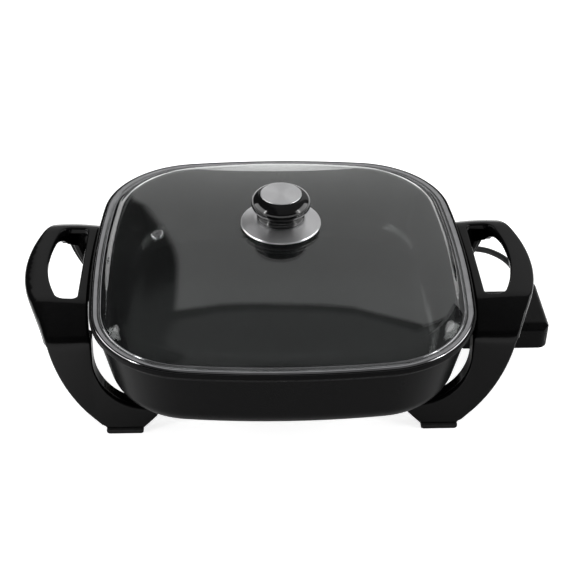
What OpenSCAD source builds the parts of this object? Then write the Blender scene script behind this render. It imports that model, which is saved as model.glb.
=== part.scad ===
// Electric skillet: a square, bowed-sided, non-stick pan on two arched handles
// whose ends are its legs, a lift-off domed glass lid with a steel rim band and
// a capped knob, and a plug-in heat controller with its cord.
//
// Units are millimetres. +Z is up and the table is z = 0. +X runs along the long
// way of the skillet, towards the side that takes the controller. The front of
// the skillet faces -Y. The origin lies on the table, at the centre of the box
// round the skillet with its controller plugged in, but without its cord.

/* [Pan] */
// Width of the lid and pan across the middle, handle side to handle side
pan_w = 305; // [260:1:340]
// Depth of the lid and pan across the middle, front to back
pan_d = 306; // [260:1:340]
// Radius of the four rounded corners, seen from above
corner_r = 79; // [55:1:95]
// Radius of the slow bow of the left and right sides
side_bow_r = 852; // [600:1:1600]
// Radius of the slow bow of the front and back sides
front_bow_r = 712; // [600:1:1600]
// Height of the pan's underside above the table
pan_clearance = 42; // [34:1:55]
// Height of the pan from its underside to the face that the lid sits on
pan_h = 65.4; // [55:0.1:75]
// Thickness of the pan's side walls
wall_t = 3.5; // [2.5:0.1:4.5]
// Thickness of the pan's floor
floor_t = 4; // [3:0.1:6]
// Angle by which the walls lean in towards the floor
wall_taper = 11.8; // [6:0.1:16]
// Outer radius between wall and floor
base_r = 25; // [16:0.5:30]
// How far the rim stands out past the lid
rim_out = 2; // [1.6:0.1:3]
// Height of the rim's outer face
rim_face = 4.4; // [3:0.1:5]
// Height of the slope under the rim, from that face in to the wall
rim_slope = 4.2; // [3:0.1:6]
// Distance from the lid's edge in to the wall, just under the rim
wall_inset = 2.4; // [1.5:0.1:4]
// How far the top of the lip round the lid lies below the lid's band
lip_drop = 0.8; // [0.6:0.1:2.5]
// Width of that lip
lip_w = 1.2; // [0.8:0.1:1.4]

/* [Lid] */
// Height of the steel band round the lid
band_h = 4.6; // [4.4:0.1:7]
// Width of the band's upper leg over the glass
band_w = 7.4; // [7:0.1:11]
// Width of the band's lower leg under the glass
band_foot = 6.4; // [5.5:0.1:6.8]
// Thickness of the band's sheet
band_t = 0.5; // [0.4:0.1:0.8]
// Radius of the band's upper outer edge
band_round = 1; // [0.6:0.1:2]
// How far the crown of the glass stands above the lid's flat rim
dome_h = 27; // [16:0.5:36]
// Quick rise of the glass just inside the band
edge_rise = 4; // [2:0.5:6]
// Distance of the steam vent from the lid's centre, to the left
vent_x = 101; // [60:1:115]
// Distance of the steam vent behind the lid's centre line
vent_y = 6; // [-20:1:20]
// Radius of the steam hole through the vent
vent_hole_r = 2; // [1.2:0.1:2.5]
// Radius of the vent's flange
vent_flange_r = 5.3; // [4.4:0.1:7]

/* [Knob] */
// Radius of the knob's steel skirt
skirt_r = 32.6; // [26:0.1:36]
// Thickness of the skirt's sheet
skirt_t = 1; // [0.8:0.1:1.5]
// Rise of the skirt from its edge to the knob's foot
skirt_rise = 4; // [2:0.5:6]
// Depth of the skirt's turned-down edge
skirt_edge = 2; // [1.5:0.1:2.8]
// Thickness of the soft washers on both faces of the glass
soft_washer_t = 1.9; // [1.2:0.1:2.5]
// Radius of the soft washers
soft_washer_r = 9; // [7:0.5:12]
// Radius of the knob's lower collar
collar_r = 19.5; // [16:0.5:21]
// Height of the lower collar
collar_h = 4; // [3:0.5:6]
// Largest radius of the knob's grip
grip_r = 24; // [21:0.5:26]
// Height of the whole knob above its skirt
knob_h = 21.9; // [20:0.1:26]
// Radius of the steel cap on the knob
cap_r = 16.5; // [12:0.5:17]
// Thickness of the cap
cap_t = 1.6; // [1:0.1:2.5]
// Radius of the knob's screw
knob_screw_r = 2.4; // [2:0.1:2.8]

/* [Handles] */
// Distance from the lid's edge out to the end of a handle
handle_reach = 57.5; // [50:0.5:70]
// Height of the lid's rim above the top of the handles
handle_drop = 5; // [3:0.5:12]
// Thickness of the handle over its ribs
handle_t = 15; // [12:0.5:18]
// Radius of the handle's rounded outline, seen from above
handle_plan_r = 145; // [120:1:180]
// Width of the bar that the hand takes hold of
bar_w = 18; // [16:0.5:24]
// Length of the flat top between the front and back bends
top_flat = 95; // [86:1:104]
// Outer radius of the bends from the top into the legs
bend_r = 34; // [28:0.5:38]
// Angle by which the legs lean out towards the table
leg_splay = 9.4; // [4:0.1:12]
// Radius of the crown across the handle's outer face
crown_r = 200; // [140:5:320]
// Thickness of the handle's outer skin
skin_t = 5.5; // [4.5:0.5:7]
// How far the ribs under the skin stay back from the handle's outer edge
rib_step = 6; // [3:0.5:8]
// Gap between the lid's edge and the handle
handle_gap = 3.6; // [3:0.1:5]
// Width of the strip between that gap and the hand hole
strip_w = 7.4; // [6:0.1:9]
// Distance from the pan's middle forward to the front end of the hand hole
hole_front = 49; // [42:0.5:50]
// Distance from the pan's middle back to the rear end of the hand hole
hole_back = 51.5; // [44:0.5:53]
// How far the bow of the hand hole's outer side lies behind the pan's middle
hole_bow = 7; // [0:0.5:8]
// Radius of the hand hole's corners
hole_corner_r = 9; // [5:0.5:10]
// Radius of the curve of a leg's inner edge in towards its foot
leg_inner_r = 43; // [36:0.5:48]
// Radius of the curve of a leg's outer edge
leg_outer_r = 134; // [120:1:150]
// Width of a leg just under the handle's end
leg_w = 36.7; // [30:0.1:40]
// Height of a foot's upper edge above the table
toe_top = 23; // [20:0.5:28]
// Width of the ribs round the hollow underside
rib_w = 4; // [3.5:0.5:6]
// Length of the tongue that is screwed to the pan
tongue_len = 52; // [40:1:60]
// Distance between the two screws of a handle
handle_screw_gap = 32; // [24:1:38]
// Radius of the handle screws
handle_screw_r = 1.9; // [1.5:0.1:2.4]

/* [Feet] */
// Height of the foot pads under the legs
pad_h = 4; // [3:0.5:6]
// Length of a foot pad
pad_len = 31; // [24:0.5:34]
// Radius of the pad's stem in the leg
pad_stem_r = 2.4; // [1.8:0.1:3]

/* [Heating element] */
// Diameter of the element's tube
element_d = 8; // [6.5:0.1:9]
// Half the width of the element's loop
loop_half = 88; // [70:1:95]
// Bend radius of the loop's corners
loop_r = 45; // [30:1:55]
// Bend radius where the loop's ends turn out to the side
lead_r = 12; // [9:0.5:16]
// Distance from the lid's edge in to the roots of the terminal pins
terminal_inset = 34.5; // [32:0.5:36]
// Length of the boss that takes the probe, under the pan's floor
probe_boss_len = 67; // [50:1:80]
// Distance between the two terminal pins
pin_gap = 25.4; // [24:0.1:28]
// Radius of the terminal pins
pin_r = 2.4; // [2:0.1:2.6]
// Radius of the controller's probe
probe_r = 3; // [2.5:0.1:3.2]

/* [Controller] */
// Width of the controller
ctl_w = 57; // [52:0.5:64]
// Height of the controller's body
ctl_h = 22.5; // [21:0.5:28]
// How far the cord's boss stands out of the back of the controller
boss_len = 10; // [6:0.5:12]
// Distance from the lid's edge out to the controller's end
ctl_reach = 76; // [70:0.5:90]
// Radius of the controller's outer corners, seen from above
ctl_corner_r = 9; // [5:0.5:12]
// Radius along the controller's upper edges
ctl_edge_r = 8; // [4:0.5:10]
// Wall thickness of the controller's housing
ctl_wall = 2; // [1.6:0.1:2.4]
// Radius of the temperature dial
dial_r = 18; // [14:0.5:19]
// Thickness of the temperature dial
dial_t = 5; // [4:0.5:6]
// Radius of the dial's shaft
shaft_r = 3; // [2.5:0.1:3.5]
// Radius of the indicator light's lens
lens_r = 3.5; // [2.5:0.1:4]

/* [Cord] */
// Diameter of the cord
cord_d = 5.6; // [5:0.1:6.2]
// Length of the tapered strain relief outside the controller
relief_len = 20; // [20:1:40]
// Full turns of the put-away coil, half of them in each layer
coil_turns = 3; // [3:2:5]
// Radius of the coil's outermost turn
coil_r = 36; // [35:0.5:40]
// Length of the plug's body
plug_len = 28; // [24:1:34]
// Length of the plug's blades
blade_len = 17; // [14:1:20]

/* [Hidden] */

// Clearances
eps = 0.01;           // overshoot of a cut past the face that it leaves
slip = 0.1;           // between pieces that are pushed together and stay put
run_gap = 0.3;        // between pieces that move past each other
seat_gap = 0.15;      // between a flat washer and the curved glass
sheet_t = 1.2;        // sheet of the terminal guard

// The skillet's middle, so that the origin is the middle of the skillet together
// with its controller
pan_x = (handle_reach - ctl_reach) / 2;

// Heights
rim_z = pan_clearance + pan_h;
lid_z = rim_z + band_h;
half_w = pan_w / 2;
half_d = pan_d / 2;

// ---------------------------------------------------------------- outlines

function arc(c, r, a0, a1, n) =
    [for (i = [0 : n]) let (a = a0 + (a1 - a0) * i / n) c + r * [cos(a), sin(a)]];
function flip_x(pts) = [for (i = [len(pts) - 1 : -1 : 0]) [-pts[i][0], pts[i][1]]];
function flip_y(pts) = [for (i = [len(pts) - 1 : -1 : 0]) [pts[i][0], -pts[i][1]]];
function unit(v) = v / norm(v);

// Centres of the side bow, the front bow, and the corner arc that touches both
side_c = [half_w - side_bow_r, 0];
front_c = [0, half_d - front_bow_r];
bow_line = front_c - side_c;
bow_dist = norm(bow_line);
bow_along = ((side_bow_r - corner_r) ^ 2 - (front_bow_r - corner_r) ^ 2 + bow_dist ^ 2)
    / (2 * bow_dist);
bow_across = sqrt((side_bow_r - corner_r) ^ 2 - bow_along ^ 2);
corner_c = side_c + bow_line / bow_dist * bow_along
    + [-bow_line[1], bow_line[0]] / bow_dist * bow_across;
side_end = atan2(corner_c[1] - side_c[1], corner_c[0] - side_c[0]);
front_end = atan2(corner_c[1] - front_c[1], corner_c[0] - front_c[0]);

// One quarter of the skillet's outline, d millimetres inside the lid's edge
side_steps = 3;
corner_steps = 8;
function quarter(d) = concat(
    arc(side_c, side_bow_r - d, 0, side_end, side_steps),
    [for (i = [1 : corner_steps])
        let (a = side_end + (front_end - side_end) * i / corner_steps)
        corner_c + (corner_r - d) * [cos(a), sin(a)]],
    [for (i = [1 : side_steps])
        let (a = front_end + (90 - front_end) * i / side_steps)
        front_c + (front_bow_r - d) * [cos(a), sin(a)]]
);
function all_but_last(pts) = [for (i = [0 : len(pts) - 2]) pts[i]];
function outline(d) =
    let (q = quarter(d), half = concat(all_but_last(q), flip_x(q)))
    concat(all_but_last(half), all_but_last(flip_y(half)));

// A ring of the outline at one height, and rings that turn rounder towards the
// centre, for the domed glass
function ring(d, z) = [for (p = outline(d)) [p[0], p[1], z]];
dome_edge = outline(band_w);
dome_mean_r = half_w - band_w;
function dome_ring(s, z) =
    [for (p = dome_edge)
        let (q = s * (s ^ 2 * p + (1 - s ^ 2) * dome_mean_r * unit(p))) [q[0], q[1], z]];

// A solid skinned over a stack of rings, closed by a flat face at both ends, or
// joined end to start where it goes round an opening
module skin(rings, closed = false) {
    n = len(rings[0]);
    m = len(rings);
    last = closed ? m - 1 : m - 2;
    sides = [for (k = [0 : last], i = [0 : n - 1])
        let (a = k * n + i, b = k * n + (i + 1) % n,
             c = ((k + 1) % m) * n + (i + 1) % n, d = ((k + 1) % m) * n + i)
        [d, c, b, a]];
    caps = closed ? [] : [
        [for (i = [0 : n - 1]) i],
        [for (i = [n - 1 : -1 : 0]) (m - 1) * n + i]
    ];
    polyhedron([for (r = rings, p = r) p], concat(sides, caps), convexity = 6);
}

// A flat drawing in Y and Z, drawn out along X; and one in X and Z along Y
module along_x(x0, x1) translate([x0, 0, 0]) rotate([90, 0, 90])
    linear_extrude(x1 - x0) children();
module along_y(y0, y1) translate([0, y1, 0]) rotate([90, 0, 0])
    linear_extrude(y1 - y0) children();
module x_rod(x0, x1, r, sides = 48) translate([x0, 0, 0]) rotate([0, 90, 0])
    cylinder(h = x1 - x0, r = r, $fn = sides);
module y_rod(y0, y1, r, sides = 48) translate([0, y0, 0]) rotate([-90, 0, 0])
    cylinder(h = y1 - y0, r = r, $fn = sides);
module at_pan() translate([pan_x, 0, 0]) children();
module on_both_sides() {
    children();
    mirror([0, 1, 0]) children();
}
module block(lo, hi) translate(lo) cube(hi - lo);

// --------------------------------------------------------------------- pan

lip_z = lid_z - lip_drop;
face_z = lip_z - rim_face;
under_rim_z = face_z - rim_slope;
lean = tan(wall_taper);
fillet_z = pan_clearance + base_r;
function wall_d(z) = wall_inset + (under_rim_z - z) * lean;
fillet_d = wall_d(fillet_z) + base_r / cos(wall_taper);
wall_across = wall_t / cos(wall_taper);
inner_r = base_r - wall_t;
inner_z = pan_clearance + floor_t + inner_r;
inner_d = wall_d(inner_z) + wall_across + inner_r / cos(wall_taper);
edge_soft = 0.4;
fillet_steps = 6;
function fillet_ring(d, z, r, i) =
    let (a = wall_taper + (90 - wall_taper) * i / fillet_steps)
    [d - r * cos(a), z - r * sin(a)];
pan_profile = concat(
    [for (i = [fillet_steps : -1 : 0]) fillet_ring(fillet_d, fillet_z, base_r, i)],
    [
        [wall_inset, under_rim_z],
        [edge_soft - rim_out, face_z],
        [-rim_out, face_z + edge_soft],
        [-rim_out, lip_z - edge_soft],
        [edge_soft - rim_out, lip_z],
        [lip_w - rim_out, lip_z],
        [lip_w - rim_out, rim_z],
        [wall_d(rim_z) + wall_across - edge_soft, rim_z],
        [wall_d(rim_z) + wall_across, rim_z - edge_soft]
    ],
    [for (i = [0 : fillet_steps]) fillet_ring(inner_d, inner_z, inner_r, i)]
);

// Where the handles meet the pan
tongue_top = under_rim_z - 1.1;
tongue_bottom = lid_z - handle_drop - handle_t - 7;
lug_x = half_w - 0.5;
screw_z = (tongue_top + tongue_bottom) / 2;
thread_depth = 5.8;

// Where the controller meets the pan
axis_z = pan_clearance - element_d / 2;
lead_x = loop_half + lead_r;
lead_end = half_w - terminal_inset;
boss_x1 = lead_end + 4;
boss_x0 = boss_x1 - probe_boss_len;
boss_end_wall = 7;
boss_half = pin_gap / 2 - element_d / 2 - 1.2;
boss_under = 2.8;
probe_hole_r = probe_r + 0.25;
probe_clear = 4;
probe_tip = boss_x0 + boss_end_wall + probe_clear;
guard_pad_h = 4;
guard_pad_len = 12;
guard_pad_w = 13;
guard_pad_in = pin_gap / 2 + element_d / 2 + 7;
guard_pad_x = [lead_end - guard_pad_len, lead_end];
guard_pad_y = [guard_pad_in, guard_pad_in + guard_pad_w];
guard_screw_at = [lead_end - guard_pad_len / 2, guard_pad_in + guard_pad_w / 2];
guard_screw_r = 1.9;
guard_screw_len = 8;

module pan() color([0.09, 0.09, 0.095]) at_pan() difference() {
    union() {
        skin([for (p = pan_profile) ring(p[0], p[1])]);
        for (side = [0, 1]) mirror([side, 0, 0]) pan_lug();
        block([boss_x0, -boss_half, axis_z - probe_hole_r - boss_under],
              [boss_x1, boss_half, pan_clearance + floor_t / 2]);
        on_both_sides() block(
            [guard_pad_x[0], guard_pad_y[0], pan_clearance - guard_pad_h],
            [guard_pad_x[1], guard_pad_y[1], pan_clearance + floor_t / 2]);
    }
    for (side = [0, 1], y = [-1, 1] * handle_screw_gap / 2) mirror([side, 0, 0])
        translate([0, y, screw_z]) x_rod(lug_x - thread_depth, lug_x + eps, handle_screw_r + slip);
    translate([0, 0, axis_z]) x_rod(probe_tip - probe_clear, boss_x1 + eps, probe_hole_r);
    on_both_sides() translate([guard_screw_at[0], guard_screw_at[1], pan_clearance - guard_pad_h - eps])
        cylinder(h = guard_screw_len - 1.5, r = guard_screw_r + slip, $fn = 48);
}

// Cast lug on the side of the pan, with a flat face for the handle's tongue
module pan_lug() {
    function mid_wall(z) = half_w - wall_d(z) - wall_across / 2;
    along_y(-tongue_len / 2, tongue_len / 2) polygon([
        [mid_wall(under_rim_z), under_rim_z + eps],
        [lug_x, under_rim_z + eps],
        [lug_x, tongue_bottom],
        [mid_wall(tongue_bottom), tongue_bottom]
    ]);
}

// --------------------------------------------------------- heating element

// Flat-topped tube section that is brazed to the underside of the floor
module element_section() {
    r = element_d / 2;
    intersection() {
        union() {
            circle(r = r, $fn = 48);
            translate([-r, 0]) square([element_d, r]);
        }
        translate([-r, -r]) square(element_d);
    }
}
module element_run(from, to) {
    v = to - from;
    translate([from[0], from[1], axis_z]) rotate([0, 0, atan2(v[1], v[0])])
        rotate([90, 0, 90]) linear_extrude(norm(v)) element_section();
}
module element_bend(c, r, a0, turn) translate([c[0], c[1], axis_z]) rotate([0, 0, a0])
    rotate_extrude(angle = turn, $fn = 96) translate([r, 0]) element_section();

module heating_element() color([0.62, 0.6, 0.56]) at_pan() {
    straight = loop_half - loop_r;
    lead_y = pin_gap / 2;
    on_both_sides() {
        element_run([lead_x, lead_y], [lead_end, lead_y]);
        element_bend([lead_x, lead_y + lead_r], lead_r, 180, 90);
        element_run([loop_half, lead_y + lead_r], [loop_half, straight]);
        element_bend([straight, straight], loop_r, 0, 90);
        element_run([straight, loop_half], [-straight, loop_half]);
        element_bend([-straight, straight], loop_r, 90, 90);
        element_run([-loop_half, straight], [-loop_half, 0]);
    }
}

// ------------------------------------------------ terminals and their guard

nose_half = 20;
nose_under = 6;
nose_over = 6.5;
nose_x = half_w - 9.5;
body_x = half_w - 0.5;
ctl_end = half_w + ctl_reach;
guard_gap = 6;
guard_x = lead_end + guard_gap;
guard_h = 20;
guard_nose = 9;
guard_end = body_x - 2;
guard_half = nose_half + 1;
guard_floor = axis_z - nose_under - 1;
pin_end = body_x + 6;
insulator_r = 4.3;
insulator_flange_r = 5.2;

module for_pins() for (y = [-1, 1] * pin_gap / 2) translate([0, y, axis_z]) children();

module terminal_pins() color([0.75, 0.74, 0.7]) at_pan() for_pins() {
    x_rod(lead_end, pin_end - pin_r, pin_r);
    translate([pin_end - pin_r, 0, 0]) sphere(r = pin_r, $fn = 32);
}

module pin_insulators() color([0.9, 0.88, 0.82]) at_pan() for_pins() difference() {
    union() {
        x_rod(guard_x - 3, guard_x + sheet_t + 5, insulator_r);
        x_rod(guard_x + sheet_t, guard_x + sheet_t + 3, insulator_flange_r);
    }
    x_rod(guard_x - 4, guard_x + sheet_t + 6, pin_r + slip);
}

// Sheet-metal shroud that keeps fingers off the live pins and steers the
// controller's nose on to them
module terminal_guard() color([0.55, 0.55, 0.55]) at_pan() difference() {
    guard_top = guard_floor + guard_h;
    union() {
        block([guard_x, -guard_half - sheet_t, guard_floor - sheet_t],
              [guard_x + sheet_t, guard_half + sheet_t, pan_clearance - 0.5]);
        block([guard_x, -guard_half - sheet_t, guard_floor - sheet_t],
              [guard_end, guard_half + sheet_t, guard_floor]);
        on_both_sides() {
            along_y(guard_half, guard_half + sheet_t) polygon([
                [guard_x, guard_floor - sheet_t],
                [guard_end, guard_floor - sheet_t],
                [guard_end, guard_top],
                [guard_end - guard_nose, guard_top],
                [guard_end - guard_nose - 10.5, pan_clearance + 1.5],
                [guard_x, pan_clearance - 0.5]
            ]);
            block([guard_pad_x[0], guard_pad_y[0], pan_clearance - guard_pad_h - sheet_t],
                  [guard_pad_x[1], guard_pad_y[1], pan_clearance - guard_pad_h]);
            block([guard_pad_x[1], guard_half, pan_clearance - guard_pad_h - sheet_t],
                  [guard_x + sheet_t, guard_pad_y[1], pan_clearance - guard_pad_h]);
        }
    }
    for_pins() x_rod(guard_x - 1, guard_x + sheet_t + 1, insulator_r + slip);
    translate([0, 0, axis_z]) x_rod(guard_x - 1, guard_x + sheet_t + 1, probe_r + 1);
    on_both_sides() translate([guard_screw_at[0], guard_screw_at[1], pan_clearance - guard_pad_h - 2])
        cylinder(h = 3, r = guard_screw_r + slip, $fn = 48);
}

module guard_screws() color([0.7, 0.7, 0.7]) at_pan() on_both_sides()
    translate([guard_screw_at[0], guard_screw_at[1], pan_clearance - guard_pad_h - sheet_t])
        mirror([0, 0, 1]) {
            round_screw(3.6, 2.2, 1);
            mirror([0, 0, 1]) cylinder(h = guard_screw_len - 2, r = guard_screw_r, $fn = 48);
        }

// Head of a round-headed screw with a straight slot, standing on z = 0
module round_screw(r, h, slot) difference() {
    rotate_extrude($fn = 48) polygon(concat(
        [[0, 0], [r, 0]],
        [for (i = [0 : 6]) let (a = 90 * i / 6) [r * cos(a), h * (0.35 + 0.65 * sin(a))]]
    ));
    block([-r - 1, -slot / 2, h * 0.55], [r + 1, slot / 2, h + 1]);
}

// ----------------------------------------------------------------- handles

handle_x = half_w + handle_reach;
handle_top = lid_z - handle_drop;
plan_c = handle_x - handle_plan_r;
bend_y = top_flat / 2;
bend_z = handle_top - bend_r;
leg_foot = pad_h;

// Where the legs lie, seen from the front
leg_inner_x = half_w - 1;
leg_outer_x = leg_inner_x + leg_w;
inner_c = [leg_inner_x - leg_inner_r, toe_top + leg_inner_r];
outer_c = [leg_outer_x - leg_outer_r, handle_top - 3.7];
toe_x = inner_c[0] - 7.5;

// The handle's skin in cross-section: its outer face is crowned over the bar and
// level below the pan's edge. Its distance is measured from the bend's centre.
crown_x = (half_w + handle_x) / 2;
function sag(x) = crown_r - sqrt(crown_r ^ 2 - (max(x, half_w) - crown_x) ^ 2);
crown_steps = 12;
crown_line = concat([[toe_x - 5, bend_r - sag(0)]],
    [for (i = [0 : crown_steps]) let (x = half_w + (handle_x + 5 - half_w) * i / crown_steps)
        [x, bend_r - sag(x)]]);
function section(t0, t1) = concat(
    t0 > 0 ? [[toe_x - 5, bend_r - t0], [handle_x + 5, bend_r - t0]] : crown_line,
    [[handle_x + 5, bend_r - t1], [toe_x - 5, bend_r - t1]]
);

// The splay of a leg about an axis, made in two turns
first_turn = 4.53;
module splayed(axis) rotate(axis * (leg_splay - first_turn)) rotate(axis * first_turn) children();

// The arch from foot to foot, level bar, round bends and splayed legs, between
// two depths below its outer face
module arch_solid(t0, t1) {
    shape = section(t0, t1);
    along_y(-bend_y, bend_y) translate([0, bend_z]) polygon(shape);
    on_both_sides() translate([0, bend_y, bend_z]) {
        rotate([0, 90, 0]) rotate([0, 0, 90]) splayed([0, 0, 1])
            rotate_extrude(angle = 90 - leg_splay, $fn = 160) polygon([for (p = shape) [p[1], p[0]]]);
        splayed([1, 0, 0]) translate([0, 0, -handle_top]) linear_extrude(handle_top) polygon(shape);
    }
}

// The side view of everything inside the arch, t below its outer face
function arch_half(t) =
    let (bend = arc([bend_y, bend_z], bend_r - t, 90, leg_splay, 12), last = bend[12])
    concat(bend, [[last[0] + (last[1] + eps) * tan(leg_splay), -eps]]);
function arch(t) = concat(arch_half(t), flip_x(arch_half(t)));
function leg_y(t, z) =
    bend_y + (bend_r - t) * cos(leg_splay) + (bend_z + (bend_r - t) * sin(leg_splay) - z) * tan(leg_splay);

// The front view of a handle: the legs sweep in under the pan towards their feet
function on_outer(z) = outer_c[0] + sqrt(leg_outer_r ^ 2 - (z - outer_c[1]) ^ 2);
function outer_angle(z, step) = asin((z - outer_c[1]) / (leg_outer_r - step));
foot_x = on_outer(leg_foot);
shoulder_z = handle_top - handle_t - 12;
function leg_front(step) = concat(
    [[toe_x, toe_top]],
    arc(inner_c, leg_inner_r, -90, 0, 14),
    [
        [leg_inner_x, lid_z + 5],
        [handle_x + 5, lid_z + 5],
        [handle_x + 5, handle_top - handle_t],
        [handle_x - 5 - step, handle_top - handle_t]
    ],
    arc(outer_c, leg_outer_r - step, outer_angle(shoulder_z, step), outer_angle(leg_foot, step), 14),
    [
        [foot_x - pad_len, leg_foot],
        [toe_x + 1.5, leg_foot + 10.5],
        [toe_x, leg_foot + 13.5]
    ]
);

// The hand hole: its outer side follows the bar, its ends are square with round
// corners
hole_r = handle_plan_r - bar_w;
hole_in = half_w + handle_gap + strip_w;
function hole_corner(y) = [plan_c + sqrt((hole_r - hole_corner_r) ^ 2 - (y - hole_bow) ^ 2), y];
function hole_turn(c) = atan2(c[1] - hole_bow, c[0] - plan_c);
hole_back_c = hole_corner(hole_back - hole_corner_r);
hole_front_c = hole_corner(hole_corner_r - hole_front);
hole_in_r = hole_corner_r / 2;
hand_hole = concat(
    arc([plan_c, hole_bow], hole_r, hole_turn(hole_front_c), hole_turn(hole_back_c), 12),
    arc(hole_back_c, hole_corner_r, hole_turn(hole_back_c), 90, 6),
    arc([hole_in + hole_in_r, hole_back - hole_in_r], hole_in_r, 90, 180, 5),
    arc([hole_in + hole_in_r, hole_in_r - hole_front], hole_in_r, 180, 270, 5),
    arc(hole_front_c, hole_corner_r, 270, 360 + hole_turn(hole_front_c), 6)
);

pad_mid = foot_x - pad_len / 2;
pad_y = leg_y(handle_t / 2, pad_h / 2);
pad_half_y = handle_t / 2 - 1;
stem_hole = 8;
tongue_x = half_w - 0.5;

module inside_outlines(step) intersection() {
    children();
    along_y(-150, 150) polygon(leg_front(step));
    difference() {
        translate([plan_c, 0, -1]) cylinder(h = lid_z + 20, r = handle_plan_r - step, $fn = 180);
        translate([0, 0, handle_top - 23]) linear_extrude(40) polygon(outline(-handle_gap));
    }
}

module handle() difference() {
    union() {
        inside_outlines(0) arch_solid(0, skin_t);
        difference() {
            inside_outlines(rib_step) arch_solid(skin_t - 0.5, handle_t);
            bar_hollow();
            on_both_sides() {
                leg_hollow();
                bend_hollow();
            }
        }
        block([tongue_x, -tongue_len / 2, tongue_bottom],
              [hole_in, tongue_len / 2, handle_top - handle_t + 1]);
        block([tongue_x, -tongue_len / 2, tongue_bottom],
              [half_w + handle_gap + 2, tongue_len / 2, tongue_top]);
    }
    translate([0, 0, handle_top - handle_t - 20]) linear_extrude(60) polygon(hand_hole);
    for (y = [-1, 1] * handle_screw_gap / 2) translate([0, y, screw_z]) {
        x_rod(tongue_x - 1, hole_in + 1, handle_screw_r + 0.3);
        x_rod(hole_in - 2.8, hole_in + 1, handle_screw_r * 2 + 0.3);
    }
    on_both_sides() translate([pad_mid, pad_y, leg_foot - 1])
        cylinder(h = stem_hole + 1, r = pad_stem_r + slip, $fn = 48);
}

// The ribs leave a hollow below the bar, as far as its ends, and behind each leg
bar_hollow_y = bend_y - 1;
hollow_edge = rib_step + rib_w;
hollow_bottom = leg_foot + stem_hole + 4;
hollow_shoulder = shoulder_z + 4;
hollow_front = concat(
    arc(inner_c, leg_inner_r + rib_w, -60, 0, 10),
    [
        [leg_inner_x + rib_w, handle_top],
        [handle_x, handle_top],
        [handle_x, handle_top - handle_t + rib_w]
    ],
    arc(outer_c, leg_outer_r - hollow_edge, outer_angle(hollow_shoulder, hollow_edge),
        outer_angle(hollow_bottom, hollow_edge), 12)
);
module inside_plan() translate([plan_c, 0, 0])
    cylinder(h = lid_z, r = handle_plan_r - hollow_edge, $fn = 180);
module bar_hollow() intersection() {
    block([hole_in, -bar_hollow_y, handle_top - handle_t - 1],
          [handle_x, bar_hollow_y, handle_top]);
    inside_plan();
}
module leg_hollow() intersection() {
    block([toe_x, bar_hollow_y - 2, hollow_bottom], [handle_x, 150, handle_top]);
    along_y(0, 150) polygon(hollow_front);
    inside_plan();
}

// The outer rib leaves the bends free, so that nothing shows behind the hand hole
module bend_hollow() block(
    [leg_inner_x + rib_w, bend_y - 14, shoulder_z - 2],
    [handle_x + 1, leg_y(0, leg_foot), handle_top]
);

module right_handle() color([0.06, 0.06, 0.065]) at_pan() handle();
module left_handle() color([0.06, 0.06, 0.065]) at_pan() mirror([1, 0, 0]) handle();

module handle_screws() color([0.7, 0.7, 0.72]) at_pan()
    for (side = [0, 1], y = [-1, 1] * handle_screw_gap / 2) mirror([side, 0, 0])
        translate([0, y, screw_z]) {
            x_rod(lug_x - thread_depth + 0.5, hole_in - 2.8, handle_screw_r);
            translate([hole_in - 2.8, 0, 0]) rotate([0, 90, 0])
                round_screw(handle_screw_r * 2, 2.4, 1);
        }

module foot_pads() color([0.12, 0.12, 0.12]) at_pan()
    for (side = [0, 1]) mirror([side, 0, 0]) on_both_sides() {
        r = 2.5;
        translate([0, pad_y, 0]) along_y(-pad_half_y, pad_half_y) polygon(concat(
            [[pad_mid + pad_len / 2 - 0.5, pad_h], [pad_mid - pad_len / 2 + 0.5, pad_h]],
            arc([pad_mid - pad_len / 2 + 0.5 + r, r], r, 180, 270, 5),
            arc([pad_mid + pad_len / 2 - 0.5 - r, r], r, 270, 360, 5)
        ));
        translate([pad_mid, pad_y, pad_h - 1])
            cylinder(h = stem_hole, r = pad_stem_r, $fn = 48);
    }

// --------------------------------------------------------------------- lid

glass_t = band_h - 2 * band_t;
glass_rim_z = lid_z - band_t;
glass_edge = band_t + slip;
edge_part = 0.06;
function ease(t) = t <= 0 ? 0 : t >= 1 ? 1 : t * t * (3 - 2 * t);
function dome_z(s) = glass_rim_z + edge_rise * ease((1 - s) / edge_part) + dome_h * (1 - s ^ 2);
dome_steps = [1, 0.985, 0.97, 0.955, 0.94, 0.87, 0.78, 0.68, 0.57, 0.45, 0.32, 0.18, 0.07];
crown_z = dome_z(0);
vent_s = norm([vent_x, vent_y]) / dome_mean_r;
vent_z = dome_z(vent_s);
vent_tilt = atan(2 * dome_h * vent_s / dome_mean_r);
vent_neck_r = vent_hole_r + 1.2;

// The vent's own axis, square to the glass
module at_vent() translate([-vent_x, vent_y, vent_z])
    rotate([0, 0, atan2(-vent_y, vent_x)]) rotate([0, -vent_tilt, 0]) children();

module lid_glass() color([0.5, 0.52, 0.53, 0.4]) at_pan() difference() {
    skin(concat(
        [for (i = [len(dome_steps) - 1 : -1 : 0])
            dome_ring(dome_steps[i], dome_z(dome_steps[i]) - glass_t)],
        [ring(glass_edge, glass_rim_z - glass_t), ring(glass_edge, glass_rim_z)],
        [for (s = dome_steps) dome_ring(s, dome_z(s))]
    ));
    translate([0, 0, glass_rim_z]) cylinder(h = dome_h + 20, r = knob_screw_r + 1.4, $fn = 48);
    at_vent() translate([0, 0, -glass_t - 5]) cylinder(h = glass_t + 10, r = vent_neck_r + slip, $fn = 48);
}

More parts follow.
